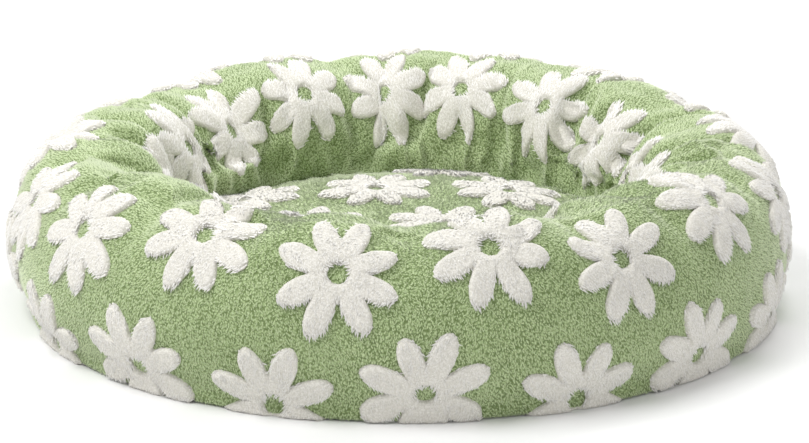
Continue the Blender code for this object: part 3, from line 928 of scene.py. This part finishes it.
class FlowerShape:
    """The flat outline of one flower. It may be cut off below, above, or by a round panel's seam."""

    def __init__(self, chance, below=1.0, above=1.0, centre=(0.0, 0.0), seam=1.0):
        self.axes = (np.arange(PETALS) + 0.5) * 2 * np.pi / PETALS + chance.normal(0, 0.04, PETALS)
        self.axes = self.axes + chance.normal(0, 0.05)
        self.reach = PETAL_REACH * chance.uniform(0.92, 1.04, PETALS)
        self.below, self.above, self.centre, self.seam = below, above, centre, seam

    def petals(self, angle):
        """How far the petals reach in a direction."""
        best = np.full(np.shape(angle), PETAL_WAIST)
        for axis, reach in zip(self.axes, self.reach):
            off = (angle - axis + np.pi) % (2 * np.pi) - np.pi
            swing = np.clip(off * PETALS / 2, -np.pi / 2, np.pi / 2)
            best = np.maximum(best, PETAL_WAIST + (reach - PETAL_WAIST) * np.cos(swing) ** PETAL_POWER)
        return best

    def edge(self, angle):
        """How far the flower reaches in a direction, its cuts included."""
        downward, upward = np.maximum(-np.sin(angle), 1e-6), np.maximum(np.sin(angle), 1e-6)
        forward = self.centre[0] * np.cos(angle) + self.centre[1] * np.sin(angle)
        to_seam = np.sqrt(forward ** 2 + self.seam ** 2 - math.hypot(*self.centre) ** 2) - forward
        cut = np.minimum(np.minimum(self.below / downward, self.above / upward), to_seam)
        return np.minimum(self.petals(angle), np.maximum(cut, EYE_RADIUS + 0.002))

    def depth(self, radius, angle):
        """Roughly how far a place is inside the nearest edge, the eye's edge included."""
        small = 0.02
        reach = self.petals(angle)
        lean = (self.petals(angle + small) - self.petals(angle - small)) / (2 * small) / reach
        inside = np.minimum((reach - radius) / np.sqrt(1 + lean ** 2), radius - EYE_RADIUS)
        x, y = radius * np.cos(angle), radius * np.sin(angle)
        from_seam = self.seam - np.hypot(self.centre[0] + x, self.centre[1] + y)
        return np.minimum(np.minimum(inside, from_seam), np.minimum(y + self.below, self.above - y))


sample_flower = FlowerShape(np.random.default_rng(1))
print("one flower reaches", np.round(sample_flower.edge(sample_flower.axes), 3))

# %% [markdown]
# The flowers repeat over the cloth as on wallpaper, in rows with one pitch. A pitch of a seventeenth of a
# turn closes each row of the ring without a gap. The upper row is almost half a pitch on from the lower
# one, and round the front its flowers stand in turn a little down and a little up. At the back the inner
# row lies nearer the crest. Working the places out by rule, instead of listing them, keeps the rows even.

# %% Places of the flowers
ROW_FLOWERS, ROW_START_DEG = 17, 210
LOWER_ALONG, UPPER_ALONG, INNER_ALONG = 0.027, 0.154, 0.318
LOWER_ZIGZAG, UPPER_ZIGZAG, UPPER_CLIMB, INNER_CLIMB = 0.004, 0.013, 0.008, -0.046
CUSHION_FIRST, CUSHION_PITCH = (0.105, 0.080), (0.132, 0.118)
CUSHION_EDGE_ROOM = 0.010
FRONT_FOOT, ZIP_SIDE_SINE, LEAST_ABOVE_FOOT = 0.004, -0.17, 0.010


def ring_row(pitches_on, along, zigzag, climb, seed):
    """Azimuth in degrees and distance along the strip of each flower in one row."""
    chance = np.random.default_rng(seed)
    row = []
    for i in range(ROW_FLOWERS):
        azimuth_deg = ROW_START_DEG + (i + pitches_on) * 360 / ROW_FLOWERS + chance.normal(0, 0.8)
        back = max(0.0, math.sin(math.radians(azimuth_deg)))
        side = 1 if i % 2 else -1
        place = along + side * zigzag * (1 - back) + climb * back + chance.normal(0, 0.003)
        row.append((azimuth_deg % 360, place))
    return row


def cushion_rows():
    """X and Y of each flower of the cushion, in rows that are half a pitch on from one another."""
    places = []
    for row in range(-2, 2):
        for step in range(-3, 3):
            x = CUSHION_FIRST[0] + (step + row % 2 / 2) * CUSHION_PITCH[0]
            y = CUSHION_FIRST[1] + row * CUSHION_PITCH[1]
            if math.hypot(x, y) < PANEL_RADIUS - CUSHION_EDGE_ROOM:
                places.append((x, y))
    return places


def on_ring(places, seed):
    """(azimuth in radians, distance along, outline) of each flower of a row."""
    chance = np.random.default_rng(seed)
    flowers = []
    for azimuth_deg, along in places:
        azimuth = math.radians(azimuth_deg)
        foot = ZIP_ALONG if math.sin(azimuth) > ZIP_SIDE_SINE else FRONT_FOOT
        along = max(along, foot + LEAST_ABOVE_FOOT)
        shape = FlowerShape(chance, below=along - foot - CUT_MARGIN,
                            above=COVER_WIDTH - along - SEAM_MARGIN)
        flowers.append((azimuth, along, shape))
    return flowers


def on_cushion(places, seed):
    """The same for the cushion, whose flowers are placed by X and Y."""
    chance = np.random.default_rng(seed)
    return [(math.atan2(y, x), math.hypot(x, y),
             FlowerShape(chance, centre=(x, y), seam=PANEL_RADIUS - CUT_MARGIN)) for x, y in places]


lower_flowers = on_ring(ring_row(0.0, LOWER_ALONG, LOWER_ZIGZAG, 0.0, 51), 61)
upper_flowers = on_ring(ring_row(0.4, UPPER_ALONG, UPPER_ZIGZAG, UPPER_CLIMB, 52), 62)
inner_flowers = on_ring(ring_row(0.55, INNER_ALONG, 0.0, INNER_CLIMB, 53), 63)
cushion_flowers = on_cushion(cushion_rows(), 64)
ring_flowers = lower_flowers + upper_flowers + inner_flowers
print("flowers:", len(ring_flowers), "on the ring,", len(cushion_flowers), "on the cushion")

# %% [markdown]
# A flower stands about 5 mm proud, because its pile is longer than the green. Its body is a closed pad on a
# polar grid with steep rolled sides.

# %% Build the flowers' pads
PAD_RINGS, PAD_COLUMNS = 9, 112
PAD_HEIGHT, PAD_ROLL, PAD_SUNK = 0.0046, 0.0036, 0.0012
LOWEST_PILE = 0.0003


def pad_lift(shape, radius, angle):
    """Height of the pad's top above the green cloth."""
    inside = np.clip(shape.depth(radius, angle) / PAD_ROLL, 0, 1)
    return PAD_HEIGHT * np.sqrt(1 - (1 - inside) ** 2)


def flower_pad(ground, azimuth, along, shape):
    """Points of one closed pad, as a grid of columns."""
    angle = np.linspace(0, 2 * np.pi, PAD_COLUMNS, endpoint=False)[:, None]
    share = np.linspace(0, 1, PAD_RINGS + 1)[None, :]
    roll = 0.5 - 0.5 * np.cos(np.pi * share)
    ragged = 0.0009 * unevenness(np.concatenate([np.cos(angle), np.sin(angle), 0 * angle], -1), 0.06, 40)
    reach = shape.edge(angle) + ragged[:, None] - 0.0006
    radius = EYE_RADIUS + (reach - EYE_RADIUS) * (0.35 * share + 0.65 * roll)
    x, y = radius * np.cos(angle), radius * np.sin(angle)
    point, facing = ground.at(*ground.around(azimuth, along, x, y))
    lift = pad_lift(shape, radius, angle)
    lift[:, [0, -1]] = -0.0003
    top = point + facing * lift[..., None]
    top += facing * (0.0007 * unevenness(point, 0.006, 41) * (lift > 0.001))[..., None]
    under = (point - facing * PAD_SUNK)[:, [-1, 0]]
    top[..., 2] = np.maximum(top[..., 2], LOWEST_PILE)
    return np.concatenate([top, under], axis=1)[::-1]


def closed_grid_faces(columns, rows, count):
    """Faces of a number of grids that are closed both ways."""
    index = np.arange(count * columns * rows).reshape(count, columns, rows)
    beside, above = np.roll(index, -1, 1), np.roll(index, -1, 2)
    return np.stack([index, beside, np.roll(beside, -1, 2), above], -1).reshape(-1, 4)


def make_pads(name, ground, flowers):
    grids = [flower_pad(ground, *flower) for flower in flowers]
    faces = closed_grid_faces(PAD_COLUMNS, PAD_RINGS + 3, len(grids))
    pads = new_piece(name, np.concatenate(grids), faces, white_pile)
    print(name, len(flowers), "flowers,", len(faces), "faces")
    return pads


make_pads("flower_pads_lower", ring_ground, lower_flowers)
make_pads("flower_pads_upper", ring_ground, upper_flowers)
make_pads("flower_pads_inner", ring_ground, inner_flowers)
make_pads("flower_pads_cushion", cushion_ground, cushion_flowers)

# %% [markdown]
# ## Pile
# What makes plush look like plush is its pile: short locks with light tips, leaning the way the cloth
# was brushed, with dark gaps between them. Each lock is a slim closed spike with a three-sided foot
# sunk in the cloth. Its shading directions are borrowed mostly from the cloth under it, as a real lock
# is a bundle of soft fibres and not a facet.

# %% Build locks of pile
LOCK_SOFTNESS = 0.62


def make_locks(name, root, facing, lean, steep, length, half_width, finish):
    """A piece of many locks. Each leans along a direction and rises by the sine steep."""
    side = np.cross(facing, lean)
    level = np.sqrt(1 - steep ** 2)
    axis = lean * level + facing * steep
    over = facing * level - lean * steep
    wide = half_width[:, None]
    points = np.stack([root + side * wide - over * wide * 0.5, root - side * wide - over * wide * 0.5,
                       root + over * wide, root + axis * length[:, None]], axis=1)
    points[..., 2] = np.maximum(points[..., 2], LOWEST_PILE + 0.0003 * np.arange(4))
    own = np.stack([side, -side, over, axis], axis=1)
    shading = unit(facing[:, None] + own * (1 - LOCK_SOFTNESS) * 1.2)
    corners = np.array([(0, 1, 2), (0, 2, 3), (2, 1, 3), (1, 0, 3)])
    faces = (np.arange(len(root))[:, None, None] * 4 + corners).reshape(-1, 3)
    piece = new_piece(name, points, faces, finish)
    tip = piece.data.attributes.new("tip", "FLOAT", "POINT")
    tip.data.foreach_set("value", np.tile([0.0, 0.0, 0.45, 1.0], len(root)).astype(np.float32))
    piece.data.normals_split_custom_set_from_vertices(shading.reshape(-1, 3).tolist())
    print(name, len(root), "locks")
    return piece


def lay_of_pile(ground, azimuth, along, lower_azimuth, lower_along):
    """Points, outward directions, and the two level directions: down the cloth and across it."""
    point, facing = ground.at(azimuth, along)
    lower, _ = ground.at(lower_azimuth, lower_along)
    down = lower - point
    down = unit(down - facing * np.sum(down * facing, -1, keepdims=True))
    return point, facing, down, np.cross(facing, down)


print("locks ready")

# %% [markdown]
# The flowers' pile is the longer one. It hangs down the cloth, and at the edges it spreads outwards, so
# that the petals end in a fine fringe.

# %% Pile on the flowers
FLOWER_LOCK_STEP = 0.0021
FLOWER_LOCK_LENGTH = (0.0038, 0.0060)
FLOWER_LOCK_HALF = 0.00095


def flower_pile(name, ground, flowers, seed):
    chance = np.random.default_rng(seed)
    steps = np.arange(-PETAL_REACH * 1.06, PETAL_REACH * 1.06, FLOWER_LOCK_STEP)
    parts = []
    for azimuth, along, shape in flowers:
        x, y = (grid.ravel() + chance.uniform(-0.5, 0.5, grid.size) * FLOWER_LOCK_STEP
                for grid in np.meshgrid(steps, steps))
        radius, angle = np.hypot(x, y), np.arctan2(y, x)
        depth = shape.depth(radius, angle)
        kept = depth > 0.0002
        x, y, radius, angle, depth = (value[kept] for value in (x, y, radius, angle, depth))
        point, facing, down, across = lay_of_pile(ground, *ground.around(azimuth, along, x, y),
                                                  *ground.around(azimuth, along, x, y - 0.001))
        spread = 0.80 * np.clip(1 - depth / 0.008, 0, 1) + 0.15
        outward_x = np.cos(angle) * spread
        outward_y = np.sin(angle) * spread * np.where(np.sin(angle) > 0, 0.55, 1.0)
        aside = outward_x + chance.normal(0, 0.22, len(x))
        lowered = 0.75 - outward_y + chance.normal(0, 0.18, len(x))
        lean = unit(down * lowered[:, None] - across * aside[:, None])
        steep = chance.uniform(0.22, 0.60, len(x))[:, None]
        length = chance.uniform(*FLOWER_LOCK_LENGTH, len(x))
        root = point + facing * (pad_lift(shape, radius, angle) - 0.0014)[:, None]
        parts.append((root, facing, lean, steep, length))
    root, facing, lean, steep, length = (np.concatenate(values) for values in zip(*parts))
    half_width = np.full(len(root), FLOWER_LOCK_HALF)
    return make_locks(name, root, facing, lean, steep, length, half_width, white_locks)


flower_pile("flower_pile_lower", ring_ground, lower_flowers, 71)
flower_pile("flower_pile_upper", ring_ground, upper_flowers, 72)
flower_pile("flower_pile_inner", ring_ground, inner_flowers, 73)
flower_pile("flower_pile_cushion", cushion_ground, cushion_flowers, 74)

# %% [markdown]
# The green pile is a little over half as long and stands more upright. Hands and paws have brushed it
# this way and that, so its lean drifts slowly over the cloth. There is none under a flower.

# %% Pile on the green cloth
GREEN_LOCK_STEP = 0.0024
GREEN_LOCK_LENGTH = (0.0023, 0.0035)
GREEN_LOCK_HALF = (0.0007, 0.0011)


def clear_of_flowers(ground, azimuth, along, flowers):
    """True for the places that no flower covers."""
    clear = np.ones(azimuth.shape, bool)
    for centre, height, shape in flowers:
        if ground is cushion_ground:
            x = along * np.cos(azimuth) - height * np.cos(centre)
            y = along * np.sin(azimuth) - height * np.sin(centre)
        else:
            off = (azimuth - centre + np.pi) % (2 * np.pi) - np.pi
            x, y = off * ground.cloth_radius(along), along - height
        near = (np.abs(x) < PETAL_REACH) & (np.abs(y) < PETAL_REACH)
        covered = shape.depth(np.hypot(x[near], y[near]), np.arctan2(y[near], x[near])) > 0.0012
        clear[np.flatnonzero(near)[covered]] = False
    return clear


def green_pile_on(name, ground, azimuth, along, flowers, down_turn, seed):
    chance = np.random.default_rng(seed)
    clear = clear_of_flowers(ground, azimuth, along, flowers)
    azimuth, along = azimuth[clear], along[clear]
    if ground is cushion_ground:
        flat = along * np.cos(azimuth), along * np.sin(azimuth) - 0.001
        lower = np.arctan2(flat[1], flat[0]), np.hypot(*flat)
    else:
        lower = azimuth, along - 0.001
    point, facing, down, across = lay_of_pile(ground, azimuth, along, *lower)
    turn = down_turn * unevenness(point, 0.055, seed) + chance.normal(0, 0.45, len(point))
    lean = down * np.cos(turn)[:, None] + across * np.sin(turn)[:, None]
    steep = chance.uniform(0.50, 0.92, len(point))[:, None]
    length = chance.uniform(*GREEN_LOCK_LENGTH, len(point))
    half_width = chance.uniform(*GREEN_LOCK_HALF, len(point))
    root = point - facing * 0.0006
    return make_locks(name, root, facing, lean, steep, length, half_width, green_locks)


def strip_places(from_azimuth, to_azimuth, from_along, seed):
    """Jittered places over part of the ring's strip."""
    chance = np.random.default_rng(seed)
    azimuths_out, alongs_out = [], []
    for along in np.arange(from_along, COVER_WIDTH - 0.003, GREEN_LOCK_STEP):
        count = int((to_azimuth - from_azimuth) * float(ring_cloth_radius(along)) / GREEN_LOCK_STEP)
        spot = (np.arange(count) + 0.5 + chance.uniform(-0.45, 0.45, count)) / count
        azimuths_out.append(from_azimuth + (to_azimuth - from_azimuth) * spot)
        alongs_out.append(along + chance.uniform(-0.45, 0.45, count) * GREEN_LOCK_STEP)
    return np.concatenate(azimuths_out), np.concatenate(alongs_out)


def disc_places(radius, seed):
    """Jittered places over the centre panel."""
    chance = np.random.default_rng(seed)
    steps = np.arange(-radius, radius, GREEN_LOCK_STEP)
    x, y = (grid.ravel() + chance.uniform(-0.45, 0.45, grid.size) * GREEN_LOCK_STEP
            for grid in np.meshgrid(steps, steps))
    inside = np.hypot(x, y) < radius
    return np.arctan2(y[inside], x[inside]), np.hypot(x[inside], y[inside])


green_pile_on("ring_pile_front", ring_ground, *strip_places(math.pi, 2 * math.pi, 0.004, 81),
              ring_flowers, 1.1, 82)
green_pile_on("ring_pile_back", ring_ground, *strip_places(0.0, math.pi, ZIP_ALONG + 0.002, 83),
              ring_flowers, 1.1, 84)
green_pile_on("cushion_pile", cushion_ground, *disc_places(PANEL_RADIUS - 0.002, 85),
              cushion_flowers, 1.3, 86)

# %% [markdown]
# ## Stuffing
# Inside each cover is a bag of thin lining cloth with loose fibre in it, so that the cover can come off
# through the zip and be washed. A filled bag is lumpy, and it draws in where the cover's folds press on
# it. Bag and fibre are both closed tubes on the ring's own section, each a little smaller.

# %% Stuffing of the ring
TUBE_COLUMNS, TUBE_TURNS = 240, 44
WALL_ROOM, FOLD_ROOM = 0.0165, 0.0270


def stuffed_tube(name, node, extra, lump, seed, finish):
    """A lumpy closed tube inside the ring's cover, smaller by extra."""
    low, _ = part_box(node)
    azimuth = np.linspace(0, 2 * np.pi, TUBE_COLUMNS, endpoint=False)[:, None]
    turn = np.linspace(0, 360, TUBE_TURNS, endpoint=False)[None, :]
    inner_side = 0.5 - 0.5 * np.cos(np.radians(turn))
    inset = WALL_ROOM + (FOLD_ROOM - WALL_ROOM) * inner_side + extra
    radius, height = ring_outline(turn, inset)
    height = np.maximum(height, low.z + extra / 2)
    grid = np.stack([radius * np.cos(azimuth), radius * np.sin(azimuth), height + 0 * azimuth], -1)
    around = np.roll(grid, -1, 0) - np.roll(grid, 1, 0)
    up = np.roll(grid, -1, 1) - np.roll(grid, 1, 1)
    normal = unit(np.cross(around, up))
    lumps = lump * (unevenness(grid, 0.07, seed) + 0.5 * unevenness(grid, 0.025, seed + 1))
    grid = grid + normal * (np.minimum(lumps, lump) - 0.4 * lump)[..., None]
    grid[..., 2] = np.maximum(grid[..., 2], low.z)
    faces = closed_grid_faces(TUBE_COLUMNS, TUBE_TURNS, 1)
    tube = new_piece(name, grid, faces, finish)
    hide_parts(node)
    print(name, len(faces), "faces")
    return tube


stuffed_tube("ring_lining_bag", "bolster_liner", 0.0, 0.0012, 91, lining_cloth)
stuffed_tube("ring_fibre", "bolster_fill", 0.0032, 0.0010, 93, fibre_wad)

# %% [markdown]
# The centre insert is a round pillow: two crowned discs that meet in a rolled edge. It is made as a
# turned section with lumps, on the size of its node.

# %% Stuffing of the centre cushion
PILLOW_COLUMNS, PILLOW_STEPS = 160, 25


def round_pillow(name, node, shrink, seed, finish):
    """A closed round pillow inside its node's box."""
    low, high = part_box(node)
    radius_out = high.x - shrink
    bottom, top = low.z + shrink, high.z - shrink - 0.004
    azimuth = np.linspace(0, 2 * np.pi, PILLOW_COLUMNS, endpoint=False)[:, None]
    turn = np.linspace(-math.pi / 2 + 0.02, math.pi / 2 - 0.02, PILLOW_STEPS)[None, :]
    radius = radius_out * np.cos(turn) ** 0.55
    half = (top - bottom) / 2
    height = bottom + half + half * np.sign(np.sin(turn)) * np.abs(np.sin(turn)) ** 0.8
    height = height - 0.012 * (radius / radius_out) ** 4 * (np.sin(turn) > 0)
    grid = np.stack([radius * np.cos(azimuth), radius * np.sin(azimuth), height + 0 * azimuth], -1)
    grid[..., 2] += 0.0012 * unevenness(grid, 0.05, seed) * (np.sin(turn) > 0)
    index = np.arange(PILLOW_COLUMNS * PILLOW_STEPS).reshape(PILLOW_COLUMNS, PILLOW_STEPS)
    beside = np.roll(index, -1, 0)
    faces = np.stack([index[:, :-1], beside[:, :-1], beside[:, 1:], index[:, 1:]], -1).reshape(-1, 4)
    faces = faces.tolist() + [index[::-1, 0].tolist(), index[:, -1].tolist()]
    pillow = new_piece(name, grid, faces, finish)
    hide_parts(node)
    print(name, len(faces), "faces")
    return pillow


round_pillow("cushion_lining_bag", "cushion_liner", 0.0005, 95, lining_cloth)
round_pillow("cushion_fibre", "cushion_fill", 0.0005, 97, fibre_wad)

# %% [markdown]
# ## Base
# The base cloth is a flat disc. Its grip comes from clear dots printed in staggered rows, low domes that
# hold the floor and lift the cloth off it by less than a millimetre.

# %% Base cloth and grip dots
DOT_RADIUS, DOT_HEIGHT, DOT_PITCH = 0.0027, 0.0009, 0.024
DOT_SPOKES = 9
DISC_RINGS, DISC_COLUMNS = 20, 180


def make_base():
    """A thin closed disc with a faint random wave."""
    radius = np.linspace(BASE_RADIUS, 0.006, DISC_RINGS)[None, :]
    azimuth = np.linspace(0, 2 * np.pi, DISC_COLUMNS, endpoint=False)[:, None]
    flat = np.stack([radius * np.cos(azimuth), radius * np.sin(azimuth), 0 * radius + 0 * azimuth], -1)
    wave = 0.00025 * unevenness(flat, 0.03, 101)
    upper, lower = flat.copy(), flat.copy()
    upper[..., 2] = BASE_TOP - 0.0004 + wave
    lower[..., 2] = DOT_HEIGHT + wave
    size = DISC_RINGS * DISC_COLUMNS
    index = np.arange(size).reshape(DISC_COLUMNS, DISC_RINGS)
    beside = np.roll(index, -1, 0)
    skin = np.stack([index[:, :-1], beside[:, :-1], beside[:, 1:], index[:, 1:]], -1).reshape(-1, 4)
    rim = np.stack([index[:, 0], index[:, 0] + size, beside[:, 0] + size, beside[:, 0]], -1)
    faces = skin.tolist() + (skin[:, ::-1] + size).tolist() + rim.tolist()
    faces += [index[:, -1].tolist(), (index[::-1, -1] + size).tolist()]
    base = new_piece("base_grip_cloth", np.concatenate([upper, lower]), faces, base_cloth)
    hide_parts("base_panel")
    return base


def make_dots():
    """Low round domes under the cloth, in staggered rows."""
    rows = np.arange(-BASE_RADIUS, BASE_RADIUS, DOT_PITCH * 0.866)
    places = [(x + (i % 2) * DOT_PITCH / 2, y) for i, y in enumerate(rows)
              for x in np.arange(-BASE_RADIUS, BASE_RADIUS, DOT_PITCH)]
    places = np.array([place for place in places if math.hypot(*place) < BASE_RADIUS - 0.008])
    spokes = np.linspace(0, 2 * np.pi, DOT_SPOKES, endpoint=False)
    levels = [(1.0, DOT_HEIGHT + 0.0006), (1.0, DOT_HEIGHT * 0.6), (0.72, DOT_HEIGHT * 0.16), (0.3, 0.0)]
    rings = [np.stack([share * DOT_RADIUS * np.cos(spokes), share * DOT_RADIUS * np.sin(spokes),
                       np.full(DOT_SPOKES, level)], -1) for share, level in levels]
    one = np.concatenate(rings)
    points = one[None] + np.concatenate([places, np.zeros((len(places), 1))], 1)[:, None]
    size = len(levels) * DOT_SPOKES
    index = np.arange(size).reshape(len(levels), DOT_SPOKES)
    beside = np.roll(index, -1, 1)
    walls = np.stack([index[:-1], index[1:], beside[1:], beside[:-1]], -1).reshape(-1, 4)
    faces = []
    for first in range(0, size * len(places), size):
        faces += (walls + first).tolist()
        faces += [(index[0] + first).tolist(), (index[-1][::-1] + first).tolist()]
    print("grip dots:", len(places))
    return new_piece("base_grip_dots", points, faces, grip_rubber)


make_base()
make_dots()

# %% [markdown]
# ## Zip
# The tapes, stops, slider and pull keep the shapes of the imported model. The chains there are plain bars,
# so each becomes what it really is, a nylon coil: one long thread wound round and round, whose turns
# hook into the other side's. The coil is a thin tube swept along a flattened helix.

# %% Coil the zip's chains
ZIP_FOOT, ZIP_HEAD = (0.3560, 0.0062), (0.3690, 0.0302)
ZIP_WIDTH = math.dist(ZIP_FOOT, ZIP_HEAD) - 0.0006
ZIP_RISE = ((ZIP_HEAD[0] - ZIP_FOOT[0]) / math.dist(ZIP_FOOT, ZIP_HEAD),
            (ZIP_HEAD[1] - ZIP_FOOT[1]) / math.dist(ZIP_FOOT, ZIP_HEAD))
CHAIN_FROM_DEG, CHAIN_TO_DEG = 9.25, 170.75
COIL_PITCH, COIL_THREAD = 0.0018, 0.00030
COIL_STEPS, COIL_SIDES = 8, 5
COIL_MEAN_RADIUS, COIL_OFF_MIDDLE = 0.3624, 0.00166
COIL_HALF_WIDTH, COIL_HALF_DEPTH = 0.00075, 0.00078


def on_zip(azimuth, up, out):
    """Points of the zip's band: up the wall from its foot, and out of the wall."""
    radius = ZIP_FOOT[0] + ZIP_RISE[0] * up + ZIP_RISE[1] * out
    height = ZIP_FOOT[1] + ZIP_RISE[1] * up - ZIP_RISE[0] * out
    return np.stack(np.broadcast_arrays(radius * np.cos(azimuth), radius * np.sin(azimuth), height), -1)


def sweep(path, half_width, sides):
    """Points and faces of a closed tube along a path."""
    ahead = unit(np.gradient(path, axis=0))
    first = unit(np.cross(ahead, np.array([0.0, 0.0, 1.0])))
    second = np.cross(ahead, first)
    turns = np.linspace(0, 2 * np.pi, sides, endpoint=False)
    ring = first[:, None] * np.cos(turns)[None, :, None] + second[:, None] * np.sin(turns)[None, :, None]
    points = path[:, None] + ring * half_width
    index = np.arange(len(path) * sides).reshape(len(path), sides)
    beside = np.roll(index, -1, 1)
    faces = np.stack([index[:-1], beside[:-1], beside[1:], index[1:]], -1).reshape(-1, 4).tolist()
    return points.reshape(-1, 3), faces + [index[0][::-1].tolist(), index[-1].tolist()]


def make_coil(side, sign):
    sweep_rad = math.radians(CHAIN_TO_DEG - CHAIN_FROM_DEG)
    turns = int(sweep_rad * COIL_MEAN_RADIUS / COIL_PITCH)
    step = np.linspace(0, 1, turns * COIL_STEPS + 1)
    phase = 2 * np.pi * turns * step + (0 if sign > 0 else np.pi)
    azimuth = math.radians(CHAIN_FROM_DEG) + sweep_rad * step
    up = ZIP_WIDTH / 2 + sign * COIL_OFF_MIDDLE + COIL_HALF_WIDTH * np.cos(phase)
    points, faces = sweep(on_zip(azimuth, up, COIL_HALF_DEPTH * np.sin(phase)), COIL_THREAD, COIL_SIDES)
    coil = new_piece("zip_coil_" + side, points, faces, zip_nylon)
    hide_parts("zip_chain_" + side)
    print("zip coil", side, turns, "turns")
    return coil


make_coil("lower", -1)
make_coil("upper", 1)

# %% [markdown]
# Each tape is sewn down by a row of stitches along its outer edge. A stitch is a short bead of thread
# that dips into the tape at both ends.

# %% Stitch the tapes
STITCH_LENGTH, STITCH_GAP, STITCH_EDGE = 0.0030, 0.0012, 0.0030
STITCH_FROM_DEG, STITCH_TO_DEG = 8.4, 171.6
TAPE_HALF = 0.0004


def stitch_row(name, up, from_deg, to_deg):
    """A dashed row of stitches along the zip's band."""
    start, stop = math.radians(from_deg), math.radians(to_deg)
    radius = ZIP_FOOT[0] + ZIP_RISE[0] * up
    count = int((stop - start) * radius / (STITCH_LENGTH + STITCH_GAP))
    points, faces, first = [], [], 0
    share = np.linspace(-0.5, 0.5, 6)
    for i in range(count):
        middle = start + (stop - start) * (i + 0.5) / count
        lift = TAPE_HALF + 0.00028 - 0.0011 * np.abs(2 * share) ** 3
        made, quads = sweep(on_zip(middle + share * STITCH_LENGTH / radius, up, lift), 0.00022, 5)
        points.append(made)
        faces += [[corner + first for corner in quad] for quad in quads]
        first += len(made)
    print(name, count, "stitches")
    return new_piece(name, np.concatenate(points), faces, green_thread)


for side, up in (("lower", STITCH_EDGE), ("upper", ZIP_WIDTH - STITCH_EDGE)):
    stitch_row("zip_stitches_" + side, up, STITCH_FROM_DEG, STITCH_TO_DEG)

# %% [markdown]
# A short strip of plush covers each end of the zip, and a blank satin label is sewn over one of them.
# All three are thin closed patches on the zip's band, a little fuller in the middle.

# %% End tabs and care label
PATCH_COLUMNS, PATCH_ROWS = 24, 14


def band_patch(name, node, from_deg, to_deg, low, high, floor_out, top_out, bulge, finish):
    """A thin closed patch on the zip's band, crowned by bulge."""
    azimuth = np.radians(np.linspace(from_deg, to_deg, PATCH_COLUMNS))[:, None]
    up = np.linspace(low, high, PATCH_ROWS)[None, :]
    across = np.sin(np.linspace(0, np.pi, PATCH_COLUMNS))[:, None] ** 0.5
    crown = across * np.sin(np.linspace(0, np.pi, PATCH_ROWS))[None, :] ** 0.5
    rough = 1 + 0.25 * unevenness(on_zip(azimuth, up, 0.0), 0.006, 111)
    outer = on_zip(azimuth, up, top_out + bulge * crown * rough)
    inner = on_zip(azimuth, up, floor_out + 0 * crown)
    points = np.concatenate([outer.reshape(-1, 3), inner.reshape(-1, 3)])
    patch = new_piece(name, points, shell_faces(PATCH_COLUMNS, PATCH_ROWS), finish)
    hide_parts(node)
    print(name, len(patch.data.polygons), "faces")
    return patch


for side, from_deg, to_deg in (("right", 0.35, 7.9), ("left", 172.1, 179.65)):
    band_patch("zip_tab_" + side, "zip_end_tab_" + side, from_deg, to_deg, 0.0004, ZIP_WIDTH - 0.0002,
               -0.0006, 0.0000, 0.0007, green_pile)
label = band_patch("blank_care_label", "care_label", 1.6, 5.4, 0.0042, 0.0248, 0.00105, 0.0014, 0.0005,
                   label_satin)

# %% [markdown]
# The other zip parts, the binding round the base and the tape inside the gathered seam have their right
# shape already. They only need their finish.

# %% Finish the nodes that stay
STAYS = {"base_seam_binding": (green_tape, "green_tape"), "gather_tape": (green_tape, "green_tape"),
         "zip_tape_lower": (green_tape, "green_tape"), "zip_tape_upper": (green_tape, "green_tape"),
         "zip_stop_lower": (plated_metal, "zip_metal"), "zip_stop_upper": (plated_metal, "zip_metal"),
         "zip_box_stop": (plated_metal, "zip_metal"), "zip_slider": (plated_metal, "zip_metal"),
         "zip_pull": (plated_metal, "zip_metal")}
for node, (finish, slot) in STAYS.items():
    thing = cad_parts[node]
    for holder in thing.material_slots:
        holder.material = finish
print("finished nodes:", len(STAYS))
